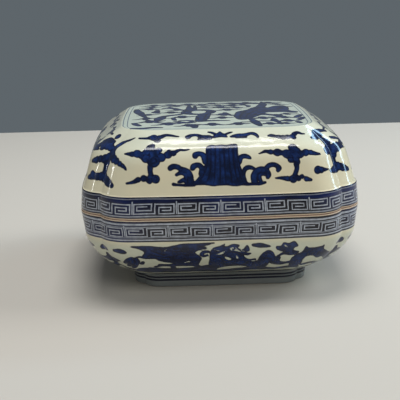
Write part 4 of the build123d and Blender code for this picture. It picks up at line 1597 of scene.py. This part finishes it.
def oily_paste(colours):
    """Stiff red paste: oily sheen, with fine fibres."""
    material, shader = new_material("oily_red_paste")
    place = object_place(material)
    clumps = noise(place, "clumps")
    dark = times(colours.paste, PASTE_SHADE)
    feed(shader.inputs["Base Color"], mix(clumps, colours.paste, dark))
    feed(shader.inputs["Roughness"], between(PASTE_GLOSS, clumps))
    add_bump(shader, noise(place, "fibres"), *PASTE_BUMP)
    return material


# Stage


SENSOR_WIDTH = 36                           # millimetres


def make_camera(stage):
    """Camera: back from the seam's middle along its line of sight, slid to its
    right and up, and rolled about that line."""
    turn, rise, roll = stage.azimuth, stage.elevation, stage.roll
    back = Vector((sin(turn) * cos(rise), -cos(turn) * cos(rise), sin(rise)))
    level = Vector((cos(turn), sin(turn), 0))
    upright = back.cross(level)
    right = level * cos(roll) + upright * sin(roll)
    up = upright * cos(roll) - level * sin(roll)
    centre = Vector((0, 0, LID_LOW.z)) + right * stage.slide[0] + up * stage.slide[1]
    data = bpy.data.cameras.new("camera")
    data.lens = stage.lens
    data.sensor_width = SENSOR_WIDTH
    data.clip_start = 10 * MM
    camera = bpy.data.objects.new("camera", data)
    axes = Matrix((right, up, back)).transposed().to_4x4()
    camera.matrix_world = Matrix.Translation(centre + back * stage.distance) @ axes
    bpy.context.scene.collection.objects.link(camera)
    bpy.context.scene.camera = camera


# Lamps: (place, point that it faces, two sizes, power)
LAMPS = {
    "overhead": ((0.07, 0.07, 1), (0.07, 0.07, 0), (0.42, 0.084), 1.08),
    "sky": ((0, 0.1, 1.1), (0, 0, 0), (0.6, 0.6), 6.4),
    "key": ((0.95, 0.15, 0.85), (0, 0, 0.05), (0.5, 0.5), 5.4),
    "fill": ((0.2, -1.15, 1.15), (0, 0, 0.05), (0.8, 0.8), 6.2),
    "side": ((0.9, 0.42, 0.55), (0, 0, 0.06), (0.95, 0.13), 3.6),
    "window": ((-0.95, 0.02, 0.303), (0, 0, 0.06), (0.026, 0.035), 0.16),
}
NOT_MIRRORED = ("sky", "key", "fill")       # lamps with no mirror image in the glaze
SIDE_LINE = (-0.5, 0.5, 0.57)               # direction of the side lamp's long edge
SIDE_TINT = (0.5, 0.78, 1)
FLOOR_FRONT, FLOOR_BACK = -1.38, 0.46       # edges; the sides are as far out as the front


def make_lamp(name, along=(1, 0, 0)):
    """Rectangular lamp that faces its point, with its first size along a direction."""
    place, target, size, power = LAMPS[name]
    data = bpy.data.lights.new(name, "AREA")
    data.shape = "RECTANGLE"
    data.size, data.size_y = size
    data.energy = power
    lamp = bpy.data.objects.new(name, data)
    away = (Vector(place) - Vector(target)).normalized()
    first = (Vector(along) - away * away.dot(Vector(along))).normalized()
    axes = Matrix((first, away.cross(first), away)).transposed().to_4x4()
    lamp.matrix_world = Matrix.Translation(place) @ axes
    lamp.visible_glossy = name not in NOT_MIRRORED
    bpy.context.scene.collection.objects.link(lamp)
    return lamp


def make_floor(stage):
    """Plain floor: a square sheet that ends behind the box, with the backdrop above."""
    front, back = FLOOR_FRONT, FLOOR_BACK
    mesh = bpy.data.meshes.new("floor")
    corners = [(front, front, 0), (-front, front, 0), (-front, back, 0), (front, back, 0)]
    mesh.from_pydata(corners, [], [(0, 1, 2, 3)])
    floor = bpy.data.objects.new("floor", mesh)
    bpy.context.scene.collection.objects.link(floor)
    material, shader = new_material("plain_floor")
    feed(shader.inputs["Base Color"], stage.floor)
    feed(shader.inputs["Roughness"], FLOOR_ROUGHNESS)
    mesh.materials.append(material)


def make_world(stage):
    """Even light from all round. The camera sees a plain backdrop instead, and
    mirror images a mixture of the two."""
    world = bpy.data.worlds.new("studio")
    bpy.context.scene.world = world
    world.use_nodes = True
    tree = world.node_tree
    tree.nodes.clear()
    mixed = tree.nodes.new("ShaderNodeMixShader")
    looks = ((stage.ambient, stage.ambient_strength), (stage.backdrop, 1))
    for i, (tint, strength) in enumerate(looks, 1):
        background = tree.nodes.new("ShaderNodeBackground")
        feed(background.inputs["Color"], tint)
        feed(background.inputs["Strength"], strength)
        feed(mixed.inputs[i], background.outputs[0])
    path = tree.nodes.new("ShaderNodeLightPath")
    mirrored = Value(path.outputs["Is Glossy Ray"]) * stage.mirrored
    feed(mixed.inputs["Fac"], mirrored.or_more(Value(path.outputs["Is Camera Ray"])))
    feed(tree.nodes.new("ShaderNodeOutputWorld").inputs["Surface"], mixed.outputs[0])


# Operators


class PASTEBOX_OT_stage(bpy.types.Operator):
    """Camera, lamps, floor and backdrop"""

    bl_idname = "pastebox.stage"
    bl_label = "Build Stage"

    def execute(self, context):
        stage = context.scene.paste_box_stage
        make_camera(stage)
        make_floor(stage)
        make_world(stage)
        for name in ("overhead", "sky", "key", "fill"):
            make_lamp(name)
        make_lamp("side", along=SIDE_LINE).data.color = SIDE_TINT
        make_lamp("window").visible_diffuse = False
        context.scene.view_settings.view_transform = "Standard"
        return {"FINISHED"}


class PASTEBOX_OT_lid(bpy.types.Operator):
    """Lid with its painted band, dome and top panel"""

    bl_idname = "pastebox.lid"
    bl_label = "Build Lid"

    def execute(self, context):
        shape = Shape(context.scene.paste_box_sizes)
        lid = build_lid(shape, shared_porcelain(context))
        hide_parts("lid")
        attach(lid, "lid")
        return {"FINISHED"}


class PASTEBOX_OT_base(bpy.types.Operator):
    """Base with its lip, well, painted belly and foot ring"""

    bl_idname = "pastebox.base"
    bl_label = "Build Base"

    def execute(self, context):
        shape = Shape(context.scene.paste_box_sizes)
        base = build_base(shape, shared_porcelain(context))
        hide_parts("base")
        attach(base, "base")
        return {"FINISHED"}


class PASTEBOX_OT_paste(bpy.types.Operator):
    """Cake of red paste in the base"""

    bl_idname = "pastebox.paste"
    bl_label = "Build Paste"

    def execute(self, context):
        paste = build_paste(oily_paste(context.scene.paste_box_colours))
        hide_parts("seal_paste")
        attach(paste, "base")
        return {"FINISHED"}


def shared_porcelain(context):
    """The painted porcelain that the lid and the base share."""
    found = bpy.data.materials.get("painted_porcelain")
    return found or porcelain(context.scene.paste_box_colours)


class PASTEBOX_PT_panel(bpy.types.Panel):
    """Sidebar panel that lists the box's operators and colours"""

    bl_idname = "PASTEBOX_PT_panel"
    bl_label = "Paste Box"
    bl_space_type = "VIEW_3D"
    bl_region_type = "UI"
    bl_category = "Paste Box"

    def draw(self, context):
        column = self.layout.column()
        for operator in OPERATORS:
            column.operator(operator.bl_idname)
        for name in BoxColours.__annotations__:
            column.prop(context.scene.paste_box_colours, name)


OPERATORS = (PASTEBOX_OT_stage, PASTEBOX_OT_lid, PASTEBOX_OT_base, PASTEBOX_OT_paste)
GROUPS = {
    "paste_box_sizes": BoxSizes,
    "paste_box_colours": BoxColours,
    "paste_box_stage": BoxStage,
}


def register():
    for group in GROUPS.values():
        bpy.utils.register_class(group)
    for operator in OPERATORS:
        bpy.utils.register_class(operator)
    bpy.utils.register_class(PASTEBOX_PT_panel)
    for name, group in GROUPS.items():
        setattr(bpy.types.Scene, name, bpy.props.PointerProperty(type=group))


def unregister():
    for name in GROUPS:
        delattr(bpy.types.Scene, name)
    bpy.utils.unregister_class(PASTEBOX_PT_panel)
    for operator in reversed(OPERATORS):
        bpy.utils.unregister_class(operator)
    for group in reversed(GROUPS.values()):
        bpy.utils.unregister_class(group)


def main():
    """Builds the stage and every piece."""
    register()
    bpy.ops.pastebox.stage()
    bpy.ops.pastebox.lid()
    bpy.ops.pastebox.base()
    bpy.ops.pastebox.paste()


if __name__ == "__main__":
    main()
